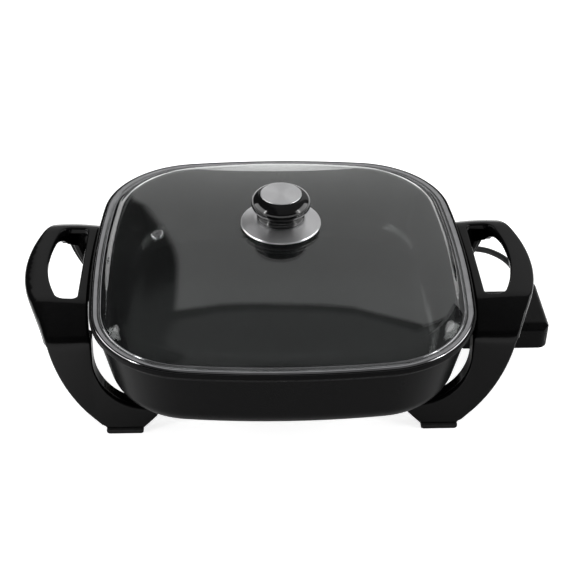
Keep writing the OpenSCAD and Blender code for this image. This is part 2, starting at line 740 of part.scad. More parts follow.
module lid_band() color([0.78, 0.78, 0.79]) at_pan() {
    r = band_round;
    bend = [for (i = [0 : 4]) let (a = 90 * i / 4) [r - r * cos(a), lid_z - r + r * sin(a)]];
    skin([for (p = concat(
        [[band_foot, rim_z + band_t], [band_foot, rim_z], [1, rim_z], [0, rim_z + 1]],
        bend,
        [[band_w - 0.5, lid_z], [band_w, lid_z - band_t]],
        [[band_t, lid_z - band_t], [band_t, rim_z + band_t]]
    )) ring(p[0], p[1])], closed = true);
}

module steam_vent() color([0.8, 0.8, 0.8]) at_pan() at_vent() difference() {
    under = -glass_t - 0.5;
    union() {
        rotate_extrude($fn = 64) polygon([
            [0, seat_gap], [vent_flange_r, seat_gap], [vent_flange_r - 0.2, seat_gap + 0.6],
            [vent_flange_r - 1, seat_gap + 1.1], [0, seat_gap + 1.1]
        ]);
        translate([0, 0, under]) cylinder(h = glass_t + 1, r = vent_neck_r, $fn = 48);
        translate([0, 0, under - 0.8]) cylinder(h = 0.8, r = vent_flange_r - 0.7, $fn = 48);
    }
    translate([0, 0, under - 2]) cylinder(h = glass_t + 5, r = vent_hole_r, $fn = 48);
}

// -------------------------------------------------------------------- knob

skirt_z = crown_z + seat_gap + soft_washer_t + skirt_t;
foot_z = skirt_z + skirt_rise;
insert_r = 4;
insert_h = 14;
grip_c = [grip_r - 9.5, (collar_h + knob_h) / 2 + 0.4];
grip_tall = knob_h - cap_t + 1 - grip_c[1];
cup_z = knob_h - cap_t;

module at_knob(z) at_pan() translate([0, 0, z]) children();

module knob_skirt() color([0.8, 0.8, 0.81]) at_knob(skirt_z) difference() {
    rotate_extrude($fn = 120) polygon([
        [0, skirt_rise - skirt_t], [collar_r + 1, skirt_rise - skirt_t],
        [skirt_r - 1.6, -skirt_t], [skirt_r - 1, -skirt_edge],
        [skirt_r - 0.1, -skirt_edge], [skirt_r, -skirt_edge + 0.4],
        [skirt_r - 0.1, -0.7], [skirt_r - 0.5, -0.2], [skirt_r - 1.1, 0],
        [skirt_r - 3, skirt_rise * 0.2], [collar_r + 3, skirt_rise * 0.85],
        [collar_r + 1, skirt_rise], [0, skirt_rise]
    ]);
    translate([0, 0, -5]) cylinder(h = skirt_rise + 10, r = knob_screw_r + 0.3, $fn = 48);
}

module knob_body() color([0.05, 0.05, 0.055]) at_knob(foot_z) difference() {
    rotate_extrude($fn = 120) polygon(concat(
        [[0, 0], [collar_r - 0.6, 0], [collar_r, 0.6], [collar_r, collar_h - 1.6],
         [collar_r - 1, collar_h - 0.8], [collar_r - 1, collar_h + 0.6]],
        [for (i = [0 : 14]) let (a = -38 + 112 * i / 14)
            [grip_c[0] + 9.5 * cos(a), grip_c[1] + grip_tall * sin(a)]],
        [[cap_r + 0.2, knob_h - 0.5], [cap_r + 0.2, cup_z], [0, cup_z]]
    ));
    translate([0, 0, -1]) cylinder(h = insert_h + 1 + slip, r = insert_r + slip, $fn = 48);
}

module knob_cap() color([0.76, 0.76, 0.77]) at_knob(foot_z + cup_z)
    rotate_extrude($fn = 120) polygon([
        [0, 0], [cap_r, 0], [cap_r, cap_t - 0.5], [cap_r - 0.6, cap_t], [cap_r - 1.2, cap_t - 0.15],
        [0, cap_t - 0.15]
    ]);

module knob_insert() color([0.78, 0.62, 0.3]) at_knob(foot_z) difference() {
    cylinder(h = insert_h, r = insert_r, $fn = 48);
    translate([0, 0, -1]) cylinder(h = insert_h - 1, r = knob_screw_r + slip, $fn = 48);
}

module washer(z, r, hole_r, t) at_knob(z) difference() {
    cylinder(h = t, r = r, $fn = 64);
    translate([0, 0, -1]) cylinder(h = t + 2, r = hole_r, $fn = 48);
}
lower_face = crown_z - glass_t - seat_gap;
steel_washer_t = 1;
module upper_washer() color([0.2, 0.2, 0.2])
    washer(crown_z + seat_gap, soft_washer_r, knob_screw_r + 0.3, soft_washer_t + skirt_rise);
module lower_washer() color([0.2, 0.2, 0.2])
    washer(lower_face - soft_washer_t, soft_washer_r, knob_screw_r + 0.3, soft_washer_t);
module steel_washer() color([0.75, 0.75, 0.75])
    washer(lower_face - soft_washer_t - steel_washer_t, soft_washer_r - 1, knob_screw_r + 0.3, steel_washer_t);

module knob_screw() color([0.72, 0.72, 0.72])
    at_knob(lower_face - soft_washer_t - steel_washer_t) {
        mirror([0, 0, 1]) round_screw(knob_screw_r * 2, 3, 1.2);
        cylinder(h = foot_z - lower_face + soft_washer_t + insert_h - 6, r = knob_screw_r, $fn = 48);
    }

// -------------------------------------------------------------- controller

ctl_bottom = axis_z - nose_under;
ctl_top = ctl_bottom + ctl_h;
ctl_half = ctl_w / 2;
dial_x = half_w + 32.5;
well_r = dial_r + 0.6;
well_floor = ctl_top - 4;
lens_x = half_w + 58.5;
screw_boss_r = 3.2;
screw_inset = 6.5;
screw_spacing = 47;
screw_spots = [for (i = [0, 1]) [body_x + 6 + i * screw_spacing, ctl_half - screw_inset]];
socket_r = 3.8;
socket_x0 = nose_x + ctl_wall + 0.8;
block_gap = 26;
block_len = 26;
block_x0 = body_x + block_gap;
block_x1 = block_x0 + block_len;
block_top = ctl_bottom + ctl_wall + 8;
probe_end = block_x0 + 6;
boss_w = 21;
boss_y = ctl_half + boss_len;
relief_x = ctl_end - boss_w / 2 - 0.5;
relief_z = (ctl_bottom + ctl_top) / 2 + 0.2;
relief_neck_r = cord_d / 2 + 1.7;
relief_lip_r = relief_neck_r + 1;
relief_lip_y = boss_y - ctl_wall;
strip_z = block_top + 2.5;

// The controller's outside, set in by t, and its floor and roof
module ctl_shape(t) {
    w = ctl_half - t;
    top = ctl_top - t;
    e = max(ctl_edge_r - t, 1);
    c = max(ctl_corner_r - t, 1);
    end = ctl_end - t;
    // body
    intersection() {
        along_x(body_x + t, end) polygon(concat(
            [[-w, ctl_bottom + t], [w, ctl_bottom + t]],
            arc([w - e, top - e], e, 0, 90, 8),
            arc([e - w, top - e], e, 90, 180, 8)
        ));
        translate([0, 0, ctl_bottom - 1]) linear_extrude(ctl_h + 2) polygon(concat(
            [[body_x + t + 4, w], [body_x + t, w - 4], [body_x + t, 4 - w], [body_x + t + 4, -w]],
            arc([end - c, c - w], c, -90, 0, 8),
            arc([end - c, w - c], c, 0, 90, 8)
        ));
        along_y(-ctl_half - 1, ctl_half + 1) polygon(concat(
            [[body_x, ctl_bottom + t], [end, ctl_bottom + t]],
            arc([end - 5, top - 5], 5, 0, 90, 6),
            [[body_x + 3, top], [body_x, top - 3]]
        ));
    }
    block([nose_x + t, t - nose_half, ctl_bottom + t],
          [body_x + t + 1, nose_half - t, axis_z + nose_over - t]);
    intersection() {
        b = boss_y - t;
        along_x(ctl_end - boss_w + t, end) polygon(concat(
            [[0, ctl_bottom + t], [b, ctl_bottom + t]],
            arc([b - e, top - e], e, 0, 90, 8),
            [[0, top]]
        ));
        translate([0, 0, ctl_bottom - 1]) linear_extrude(ctl_h + 2) polygon(concat(
            [[ctl_end - boss_w - 1, b], [ctl_end - boss_w - 1, 0], [end, 0]],
            arc([end - c, b - c], c, 0, 90, 8)
        ));
        along_y(-1, boss_y) polygon(concat(
            [[ctl_end - boss_w, ctl_bottom + t], [end, ctl_bottom + t]],
            arc([end - 5, top - 5], 5, 0, 90, 6),
            arc([ctl_end - boss_w + t + 3, top - 3], 3, 90, 180, 4)
        ));
    }
}

module ctl_holes() {
    for_pins() x_rod(nose_x - 1, nose_x + ctl_wall + 1, pin_r + 0.7);
    translate([0, 0, axis_z]) x_rod(nose_x - 1, nose_x + ctl_wall + 1, probe_r + run_gap);
    translate([relief_x, 0, relief_z]) {
        y_rod(relief_lip_y - 1.5, relief_lip_y, relief_lip_r + slip);
        y_rod(relief_lip_y - 1.5, boss_y + 1, relief_neck_r + slip);
    }
}

module controller_top() color([0.1, 0.1, 0.105]) at_pan() difference() {
    union() {
        difference() {
            ctl_shape(0);
            ctl_shape(ctl_wall);
        }
        intersection() {
            ctl_shape(0.5);
            union() {
                translate([dial_x, 0, well_floor - ctl_wall])
                    cylinder(h = ctl_top - well_floor + ctl_wall, r = well_r + ctl_wall, $fn = 96);
                for (p = screw_spots) on_both_sides() translate([p[0], p[1], axis_z])
                    cylinder(h = ctl_top - axis_z, r = screw_boss_r, $fn = 48);
            }
        }
    }
    block([nose_x - 1, -ctl_half - 1, ctl_bottom - 1], [ctl_end + 1, boss_y + 1, axis_z]);
    translate([dial_x, 0, well_floor]) cylinder(h = 10, r = well_r, $fn = 96);
    translate([dial_x, 0, axis_z]) cylinder(h = 30, r = shaft_r + run_gap, $fn = 48);
    translate([lens_x, 0, axis_z]) cylinder(h = 30, r = lens_r + slip, $fn = 48);
    for (p = screw_spots) on_both_sides() translate([p[0], p[1], axis_z - 1])
        cylinder(h = 9, r = 1.25 + slip, $fn = 32);
    ctl_holes();
}

module controller_base() color([0.1, 0.1, 0.105]) at_pan() difference() {
    union() {
        difference() {
            ctl_shape(0);
            ctl_shape(ctl_wall);
        }
        intersection() {
            ctl_shape(0.5);
            for (p = screw_spots) on_both_sides() translate([p[0], p[1], ctl_bottom])
                cylinder(h = axis_z - ctl_bottom, r = screw_boss_r, $fn = 48);
        }
    }
    block([nose_x - 1, -ctl_half - 1, axis_z], [ctl_end + 1, boss_y + 1, ctl_top + 1]);
    for (p = screw_spots) on_both_sides() translate([p[0], p[1], ctl_bottom - 1]) {
        cylinder(h = 20, r = 1.25 + slip, $fn = 32);
        cylinder(h = 3.2, r = 2.5, $fn = 48);
    }
    ctl_holes();
}

module controller_screws() color([0.65, 0.65, 0.65]) at_pan()
    for (p = screw_spots) on_both_sides() translate([p[0], p[1], ctl_bottom + 2.2]) {
        mirror([0, 0, 1]) round_screw(2.3, 1.8, 0.7);
        cylinder(h = 10.5, r = 1.25, $fn = 32);
    }

module contact_sockets() color([0.8, 0.64, 0.32]) at_pan() for_pins() difference() {
    x_rod(socket_x0, block_x0, socket_r);
    x_rod(socket_x0 - 1, pin_end + 2, pin_r + run_gap);
}

module probe() color([0.75, 0.75, 0.75]) at_pan() translate([0, 0, axis_z]) {
    x_rod(probe_tip + probe_r, probe_end, probe_r);
    translate([probe_tip + probe_r, 0, 0]) sphere(r = probe_r, $fn = 48);
}

module thermostat_block() color([0.85, 0.83, 0.76]) at_pan() difference() {
    block([block_x0, -18, ctl_bottom + ctl_wall], [block_x1, 18, block_top]);
    translate([0, 0, axis_z]) x_rod(block_x0 - 1, probe_end + slip, probe_r + slip);
}

module bimetal_strip() color([0.7, 0.66, 0.55]) at_pan() {
    post_x = block_x1 - 5;
    block([block_x0 + 3, -3.5, strip_z], [post_x + 4, 3.5, strip_z + 0.8]);
    translate([post_x, 0, block_top]) cylinder(h = strip_z - block_top + 2.2, r = 2.6, $fn = 32);
}

module indicator_lens() color([0.85, 0.25, 0.08]) at_pan()
    translate([lens_x, 0, 0]) rotate_extrude($fn = 48) polygon([
        [0, ctl_top - ctl_wall - 0.4], [lens_r, ctl_top - ctl_wall - 0.4], [lens_r, ctl_top],
        [lens_r * 0.9, ctl_top + 0.5], [lens_r * 0.6, ctl_top + 0.9], [0, ctl_top + 1.1]
    ]);

module indicator_lamp() color([0.9, 0.75, 0.6]) at_pan() translate([lens_x, 0, 0]) {
    lamp_top = ctl_top - ctl_wall - 0.8;
    translate([0, 0, ctl_bottom + ctl_wall]) cylinder(h = 5, r = 3.2, $fn = 32);
    translate([0, 0, ctl_bottom + ctl_wall + 5]) cylinder(h = lamp_top - ctl_bottom - ctl_wall - 7, r = 2, $fn = 32);
    translate([0, 0, lamp_top - 2]) sphere(r = 2, $fn = 32);
}

dial_z = well_floor + 0.5;
module temperature_dial() color([0.08, 0.08, 0.085]) at_pan() translate([dial_x, 0, dial_z])
    difference() {
        union() {
            rotate_extrude($fn = 96) polygon([
                [0, 0], [dial_r, 0], [dial_r, dial_t - 0.8], [dial_r - 0.8, dial_t],
                [dial_r - 6.5, dial_t], [dial_r - 7, dial_t - 0.6], [0, dial_t - 0.6]
            ]);
            block([-dial_r + 8, -2.2, dial_t - 1], [dial_r - 8, 2.2, dial_t + 1.8]);
        }
        translate([0, 0, -1]) cylinder(h = dial_t, r = shaft_r + slip, $fn = 48);
        for (i = [0 : 35]) rotate([0, 0, i * 10]) translate([dial_r + 0.55, 0, -1])
            cylinder(h = dial_t + 3, r = 0.9, $fn = 16);
    }

module dial_shaft() color([0.72, 0.72, 0.72]) at_pan()
    translate([dial_x, 0, strip_z + 0.8 + run_gap])
        cylinder(h = dial_z + dial_t - 1.2 - strip_z - 0.8 - run_gap, r = shaft_r, $fn = 48);

// -------------------------------------------------------------------- cord

relief_tip_r = cord_d / 2 + 1.2;
relief_base_r = cord_d / 2 + 3.6;
relief_out = boss_y + relief_len;

module strain_relief() color([0.07, 0.07, 0.07]) at_pan() translate([relief_x, 0, relief_z])
    rotate([-90, 0, 0]) rotate_extrude($fn = 48) polygon([
        [0, relief_lip_y - 1.2], [relief_lip_r, relief_lip_y - 1.2],
        [relief_lip_r, relief_lip_y - slip], [relief_neck_r, relief_lip_y - slip],
        [relief_neck_r, boss_y], [relief_base_r, boss_y], [relief_base_r, boss_y + 2.5],
        [relief_base_r - 1, boss_y + 3.5], [relief_tip_r, relief_out - 0.5],
        [relief_tip_r - 0.5, relief_out], [0, relief_out]
    ]);

// The cord leaves the strain relief towards the back, bends round behind the leg,
// comes down to the table and runs to the coil behind the pan. Its points are
// measured from the middle of the pan.
coil_c = [68, 168 + coil_r];
coil_low_z = 3.8;
coil_lead = 8;
coil_tail = 24;
cord_start = [relief_x, relief_out, relief_z];
coil_start = [coil_c[0] + coil_lead, coil_c[1] - coil_r, coil_low_z];
cord_route = [
    cord_start,
    cord_start + [0, 6, 0],
    [217, 70, 43.5],
    [214.5, 82, 43],
    [210.5, 93, 41.5],
    [205.5, 103.5, 39],
    [199.5, 114, 35.5],
    [192, 123.5, 31],
    [183, 131.5, 26],
    [172.5, 138.5, 20.5],
    [161, 144.5, 15],
    [149.5, 150, 10],
    [138, 155, 5.5],
    [126, 160, 3.3],
    [113.5, 164, 2.9],
    [101, 166.5, 2.9],
    [88.5, 168, 3.3],
    coil_start + [6, 0, 0],
    coil_start
];

// Rings round a path of points, and the tube through them
function heading(pts, i) = unit(pts[min(i + 1, len(pts) - 1)] - pts[max(i - 1, 0)]);
function tube_ring(p, dir, r, sides) =
    let (u = unit(cross(dir, [0, 0, 1])), v = cross(u, dir))
    [for (i = [0 : sides - 1]) let (a = 360 * (i + 0.5) / sides) p + r * (cos(a) * u + sin(a) * v)];
function tube_rings(pts, r, sides) =
    [for (i = [0 : len(pts) - 1]) tube_ring(pts[i], heading(pts, i), r, sides)];

cord_sides = 8;
module cord() color([0.06, 0.06, 0.06]) at_pan()
    skin(tube_rings(cord_route, cord_d / 2, cord_sides));

// The coil winds in on the table for half of its turns and out again on top of
// them, and climbs in the half turn where it reverses.
coil_rings_per_turn = 24;
coil_sides = 6;
coil_pitch = cord_d + 0.6;
coil_sweep = 360 * coil_turns;
function coil_radius(a) = coil_r - coil_pitch * min(a, coil_sweep - a) / 360;
function coil_height(a) = coil_low_z + coil_pitch * min(max((a - coil_sweep / 2) / 180 + 0.5, 0), 1);
function coil_point(a) =
    [coil_c[0] - coil_radius(a) * sin(a), coil_c[1] - coil_radius(a) * cos(a), coil_height(a)];
coil_high_z = coil_low_z + coil_pitch;
coil_end = [coil_c[0] - coil_tail, coil_c[1] - coil_r, coil_high_z];
coil_turn_points = [for (i = [0 : coil_rings_per_turn * coil_turns])
    coil_point(360 * i / coil_rings_per_turn)];
coil_path = concat([coil_start], coil_turn_points, [coil_end + [cord_d, 0, 0], coil_end]);

// Least gap of the coil to itself: between points at least half a turn apart
coil_gap = min([for (i = [0 : len(coil_turn_points) - 1], j = [i + coil_rings_per_turn / 2 : 1 : len(coil_turn_points) - 1])
    norm(coil_turn_points[i] - coil_turn_points[j])]) - cord_d;
echo(least_gap_of_the_coil_to_itself = coil_gap);

module cord_coil() color([0.06, 0.06, 0.06]) at_pan()
    skin(tube_rings(coil_path, cord_d / 2, coil_sides));

// Strap round both layers of the coil, on its left
tie_w = 10;
tie_t = 0.8;
tie_inner = coil_r - coil_pitch * (coil_turns - 0.5) / 2 - cord_d / 2 - 0.7;
tie_outer = coil_r - coil_pitch / 4 + cord_d / 2 + 0.6;
module coil_tie() color([0.12, 0.12, 0.12]) at_pan() difference() {
    strap(tie_t, tie_w / 2);
    strap(0, tie_w / 2 + 1);
}
module strap(t, half) {
    low = coil_low_z - cord_d / 2 - 0.1 - t;
    high = coil_high_z + cord_d / 2 + 0.3 + t;
    left = coil_c[0] - tie_outer - t;
    right = coil_c[0] - tie_inner + t;
    c = 1 + t;
    along_y(coil_c[1] - half, coil_c[1] + half) polygon([
        [left + c, low], [right - c, low], [right, low + c], [right, high - c],
        [right - c, high], [left + c, high], [left, high - c], [left, low + c]
    ]);
}

// -------------------------------------------------------------------- plug

plug_z = coil_high_z;
plug_half_w = 12.5;
plug_half_h = min(9.5, plug_z - 0.1);
plug_boot = 18;
plug_x0 = coil_end[0];
plug_y = coil_end[1];
plug_face = plug_x0 - plug_boot - plug_len;

module plug_body() color([0.07, 0.07, 0.07]) at_pan() translate([0, plug_y, plug_z]) {
    rotate([0, 90, 0]) translate([0, 0, plug_x0 - plug_boot - 1]) rotate_extrude($fn = 48) polygon([
        [0, 0], [relief_base_r, 0], [relief_base_r, 4], [relief_tip_r, plug_boot + 0.5],
        [relief_tip_r - 0.5, plug_boot + 1], [0, plug_boot + 1]
    ]);
    along_x(plug_face, plug_x0 - plug_boot) intersection() {
        polygon(concat(
            arc([plug_half_w - 6, plug_half_h - 6], 6, 0, 90, 6),
            arc([6 - plug_half_w, plug_half_h - 6], 6, 90, 180, 6),
            arc([6 - plug_half_w, 6 - plug_half_h], 6, 180, 270, 6),
            arc([plug_half_w - 6, 6 - plug_half_h], 6, 270, 360, 6)
        ));
    }
}

module plug_blades() color([0.8, 0.72, 0.5]) at_pan() for (y = [-6.35, 6.35]) {
    translate([0, plug_y + y, plug_z]) along_y(-0.75, 0.75) polygon([
        [plug_face, -3.15], [plug_face, 3.15], [plug_face - blade_len + 2, 3.15],
        [plug_face - blade_len, 1.6], [plug_face - blade_len, -1.6], [plug_face - blade_len + 2, -3.15]
    ]);
}

// -------------------------------------------------------------------- parts

pan();
heating_element();
terminal_pins();
pin_insulators();
terminal_guard();
guard_screws();
right_handle();
left_handle();
handle_screws();
foot_pads();
lid_glass();
lid_band();
steam_vent();
knob_skirt();
knob_body();
knob_cap();
knob_insert();
upper_washer();
lower_washer();
steel_washer();
knob_screw();
controller_top();
controller_base();
controller_screws();
contact_sockets();
probe();
thermostat_block();
bimetal_strip();
indicator_lens();
indicator_lamp();
temperature_dial();
dial_shaft();
strain_relief();
cord();
cord_coil();
coil_tie();
plug_body();
plug_blades();
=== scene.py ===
"""An electric skillet in plain studio light.

A square pan with bowed sides stands on two arched handles under a domed glass
lid, with a plug-in heat controller and its cord on the right.
"""
import logging
import math
from collections.abc import Sequence
from dataclasses import dataclass, field
from enum import Enum
from typing import ClassVar

import bmesh
import bpy
from mathutils import Matrix, Vector
from mathutils.geometry import delaunay_2d_cdt


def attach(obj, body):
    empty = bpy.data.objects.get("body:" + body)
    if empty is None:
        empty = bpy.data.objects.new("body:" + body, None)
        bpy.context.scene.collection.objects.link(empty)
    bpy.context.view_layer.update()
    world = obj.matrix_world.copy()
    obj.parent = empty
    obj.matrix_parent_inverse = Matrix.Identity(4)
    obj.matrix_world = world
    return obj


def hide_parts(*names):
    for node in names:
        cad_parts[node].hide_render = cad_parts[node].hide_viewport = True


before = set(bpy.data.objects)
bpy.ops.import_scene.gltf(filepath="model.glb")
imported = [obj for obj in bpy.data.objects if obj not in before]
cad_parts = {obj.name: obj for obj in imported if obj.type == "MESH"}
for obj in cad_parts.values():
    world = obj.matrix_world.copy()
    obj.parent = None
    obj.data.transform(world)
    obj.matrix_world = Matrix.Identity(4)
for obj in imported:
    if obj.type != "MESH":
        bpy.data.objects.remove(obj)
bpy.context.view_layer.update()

log = logging.getLogger("skillet")

MM = 0.001
PAN_X = -9.25  # the pan's middle from the frame's middle, in millimetres

Point2 = tuple[float, float]
Point3 = tuple[float, float, float]
Slopes = tuple[float, float, float, float]


# ------------------------------------------------------------------ meshes


def place(point: Sequence[float]) -> Vector:
    """Turns a point measured from the pan's middle into the frame's metres.

    Args:
        point: x, y and z in millimetres from the pan's middle on the table.

    Returns:
        The same point in the frame, in metres.
    """
    return Vector(((point[0] + PAN_X) * MM, point[1] * MM, point[2] * MM))


def add_object(name: str, data: bpy.types.ID) -> bpy.types.Object:
    """Makes an object and links it to the scene.

    Args:
        name: The object's name.
        data: Its mesh, curve, lamp or camera.

    Returns:
        The new object.
    """
    made = bpy.data.objects.new(name, data)
    bpy.context.scene.collection.objects.link(made)
    return made


def shade(mesh: bpy.types.Mesh, sharp: float) -> None:
    """Shades a mesh smooth, but for the edges above an angle in degrees."""
    mesh.shade_smooth()
    mesh.set_sharp_from_angle(angle=math.radians(sharp))


def make_piece(
    name: str,
    points: Sequence[Sequence[float]],
    faces: Sequence[Sequence[int]],
    sharp: float = 35.0,
    weld: bool = False,
) -> bpy.types.Object:
    """Makes one mesh piece and links it to the scene.

    Args:
        name: The piece's name.
        points: Its points, in millimetres from the pan's middle.
        faces: Its faces, as indices into the points.
        sharp: The angle in degrees above which an edge stays sharp.
        weld: Whether points that coincide are merged.

    Returns:
        The new object.
    """
    mesh = bpy.data.meshes.new(name)
    mesh.from_pydata([place(p) for p in points], [], [list(f) for f in faces])
    sheet = bmesh.new()
    sheet.from_mesh(mesh)
    if weld:
        bmesh.ops.remove_doubles(sheet, verts=sheet.verts, dist=2e-6)
        bmesh.ops.dissolve_degenerate(sheet, edges=sheet.edges, dist=1e-6)
    bmesh.ops.recalc_face_normals(sheet, faces=sheet.faces)
    sheet.to_mesh(mesh)
    sheet.free()
    shade(mesh, sharp)
    return add_object(name, mesh)


def band_faces(rows: int, count: int, closed_rows: bool = False) -> list[list[int]]:
    """Lists the quads between neighbouring rings of equal length.

    Args:
        rows: How many rings there are.
        count: How many points each ring has.
        closed_rows: Whether the last ring joins the first.

    Returns:
        Faces as indices into the rings' points, ring after ring.
    """
    faces = []
    for k in range(rows if closed_rows else rows - 1):
        for i in range(count):
            j, m = (i + 1) % count, (k + 1) % rows
            faces.append([k * count + i, k * count + j, m * count + j, m * count + i])
    return faces


def loft(
    name: str, rings: Sequence[Sequence[Point3]], caps: bool = True, tube: bool = False
) -> bpy.types.Object:
    """Skins a stack of rings.

    Args:
        name: The piece's name.
        rings: Rings of equal length.
        caps: Whether flat faces close the first and last ring.
        tube: Whether the last ring joins the first, round an opening.

    Returns:
        The new object.
    """
    count = len(rings[0])
    faces = band_faces(len(rings), count, tube)
    if caps and not tube:
        faces.append(list(range(count)))
        faces.append([(len(rings) - 1) * count + i for i in range(count)])
    return make_piece(name, [p for ring in rings for p in ring], faces)


def lathe(name: str, profile: Sequence[Point2], z: float, steps: int = 128) -> bpy.types.Object:
    """Turns a profile round the pan's middle axis.

    Args:
        name: The piece's name.
        profile: Radius and height pairs. One end or both may be on the axis.
        z: The height of the profile's zero.
        steps: How many points go round.

    Returns:
        The new object.
    """
    rows = [
        [
            (r * math.cos(a), r * math.sin(a), z + h)
            for a in (2 * math.pi * i / steps for i in range(steps))
        ]
        for r, h in profile
    ]
    points = [p for row in rows for p in row]
    return make_piece(name, points, band_faces(len(rows), steps, True), weld=True)


def arc_points(
    centre: Point2, r: float, start: float, end: float, steps: int
) -> list[Point2]:
    """Gives the points of an arc.

    Args:
        centre: The arc's centre.
        r: Its radius.
        start: The angle of its first point in radians.
        end: The angle of its last point in radians.
        steps: How many steps it has.

    Returns:
        One point more than it has steps.
    """
    angles = [start + (end - start) * i / steps for i in range(steps + 1)]
    return [(centre[0] + r * math.cos(a), centre[1] + r * math.sin(a)) for a in angles]


def line_points(a: Point2, b: Point2, steps: int) -> list[Point2]:
    """Divides a straight line.

    Args:
        a: One end.
        b: The other end.
        steps: How many equal steps it is cut in.

    Returns:
        The points between the steps, without the two ends.
    """
    shares = [i / steps for i in range(1, steps)]
    return [(a[0] + (b[0] - a[0]) * t, a[1] + (b[1] - a[1]) * t) for t in shares]


def round_corner(a: Point2, b: Point2, c: Point2, r: float, steps: int = 4) -> list[Point2]:
    """Rounds one corner of a profile.

    Args:
        a: The point before the corner.
        b: The corner.
        c: The point after the corner.
        r: The length that is cut from each side, at most half of the side.
        steps: How many steps the curve has.

    Returns:
        The points that take the corner's place.
    """
    ends = []
    for p in (a, c):
        side = math.dist(p, b)
        share = min(r, side * 0.49) / side
        ends.append((b[0] + (p[0] - b[0]) * share, b[1] + (p[1] - b[1]) * share))
    first, last = ends
    out = []
    for i in range(steps + 1):
        t = i / steps
        u, v, w = (1 - t) ** 2, 2 * t * (1 - t), t * t
        out.append(tuple(u * p + v * q + w * e for p, q, e in zip(first, b, last)))
    return out


def soften_profile(profile: Sequence[Point2], radii: Sequence[float]) -> list[Point2]:
    """Rounds the corners of an open profile.

    Args:
        profile: The profile's corners.
        radii: One rounding for each corner. Nought keeps a corner as it is.

    Returns:
        The profile with its rounded corners.
    """
    out = []
    for i, (p, r) in enumerate(zip(profile, radii)):
        if r <= 0 or i in (0, len(profile) - 1):
            out.append(p)
        else:
            out.extend(round_corner(profile[i - 1], p, profile[i + 1], r))
    return out


def merge_pieces(name: str, parts: Sequence[bpy.types.Object]) -> bpy.types.Object:
    """Joins pieces into one object.

    Args:
        name: The name of the joined piece.
        parts: The pieces, which are used up.

    Returns:
        The joined object.
    """
    sheet = bmesh.new()
    for part in parts:
        sheet.from_mesh(part.data)
    mesh = bpy.data.meshes.new(name)
    sheet.to_mesh(mesh)
    sheet.free()
    for part in parts:
        bpy.data.objects.remove(part)
    shade(mesh, 35.0)
    return add_object(name, mesh)


def rounded_block(
    name: str, low: Point3, high: Point3, r: float, lean: float = 0.0
) -> bpy.types.Object:
    """Makes a block with rounded edges.

    Args:
        name: The piece's name.
        low: Its lowest corner.
        high: Its highest corner.
        r: The rounding of its edges.
        lean: How far the side next to the middle leans out at its top.

    Returns:
        The new object.
    """
    far = max(abs(low[0]), abs(high[0]))
    mesh = bpy.data.meshes.new(name)
    sheet = bmesh.new()
    bmesh.ops.create_cube(sheet, size=1.0)
    for vert in sheet.verts:
        corner = [low[i] if vert.co[i] < 0 else high[i] for i in range(3)]
        next_to_middle = abs(corner[0]) < far - 1e-6
        if vert.co.z > 0 and next_to_middle:
            corner[0] += math.copysign(lean, corner[0])
        vert.co = place(corner)
    edges = sheet.edges[:]
    bmesh.ops.bevel(sheet, geom=edges, offset=r * MM, segments=3, profile=0.5, affect="EDGES")
    sheet.to_mesh(mesh)
    sheet.free()
    shade(mesh, 50.0)
    return add_object(name, mesh)


# ---------------------------------------------------------------- finishes


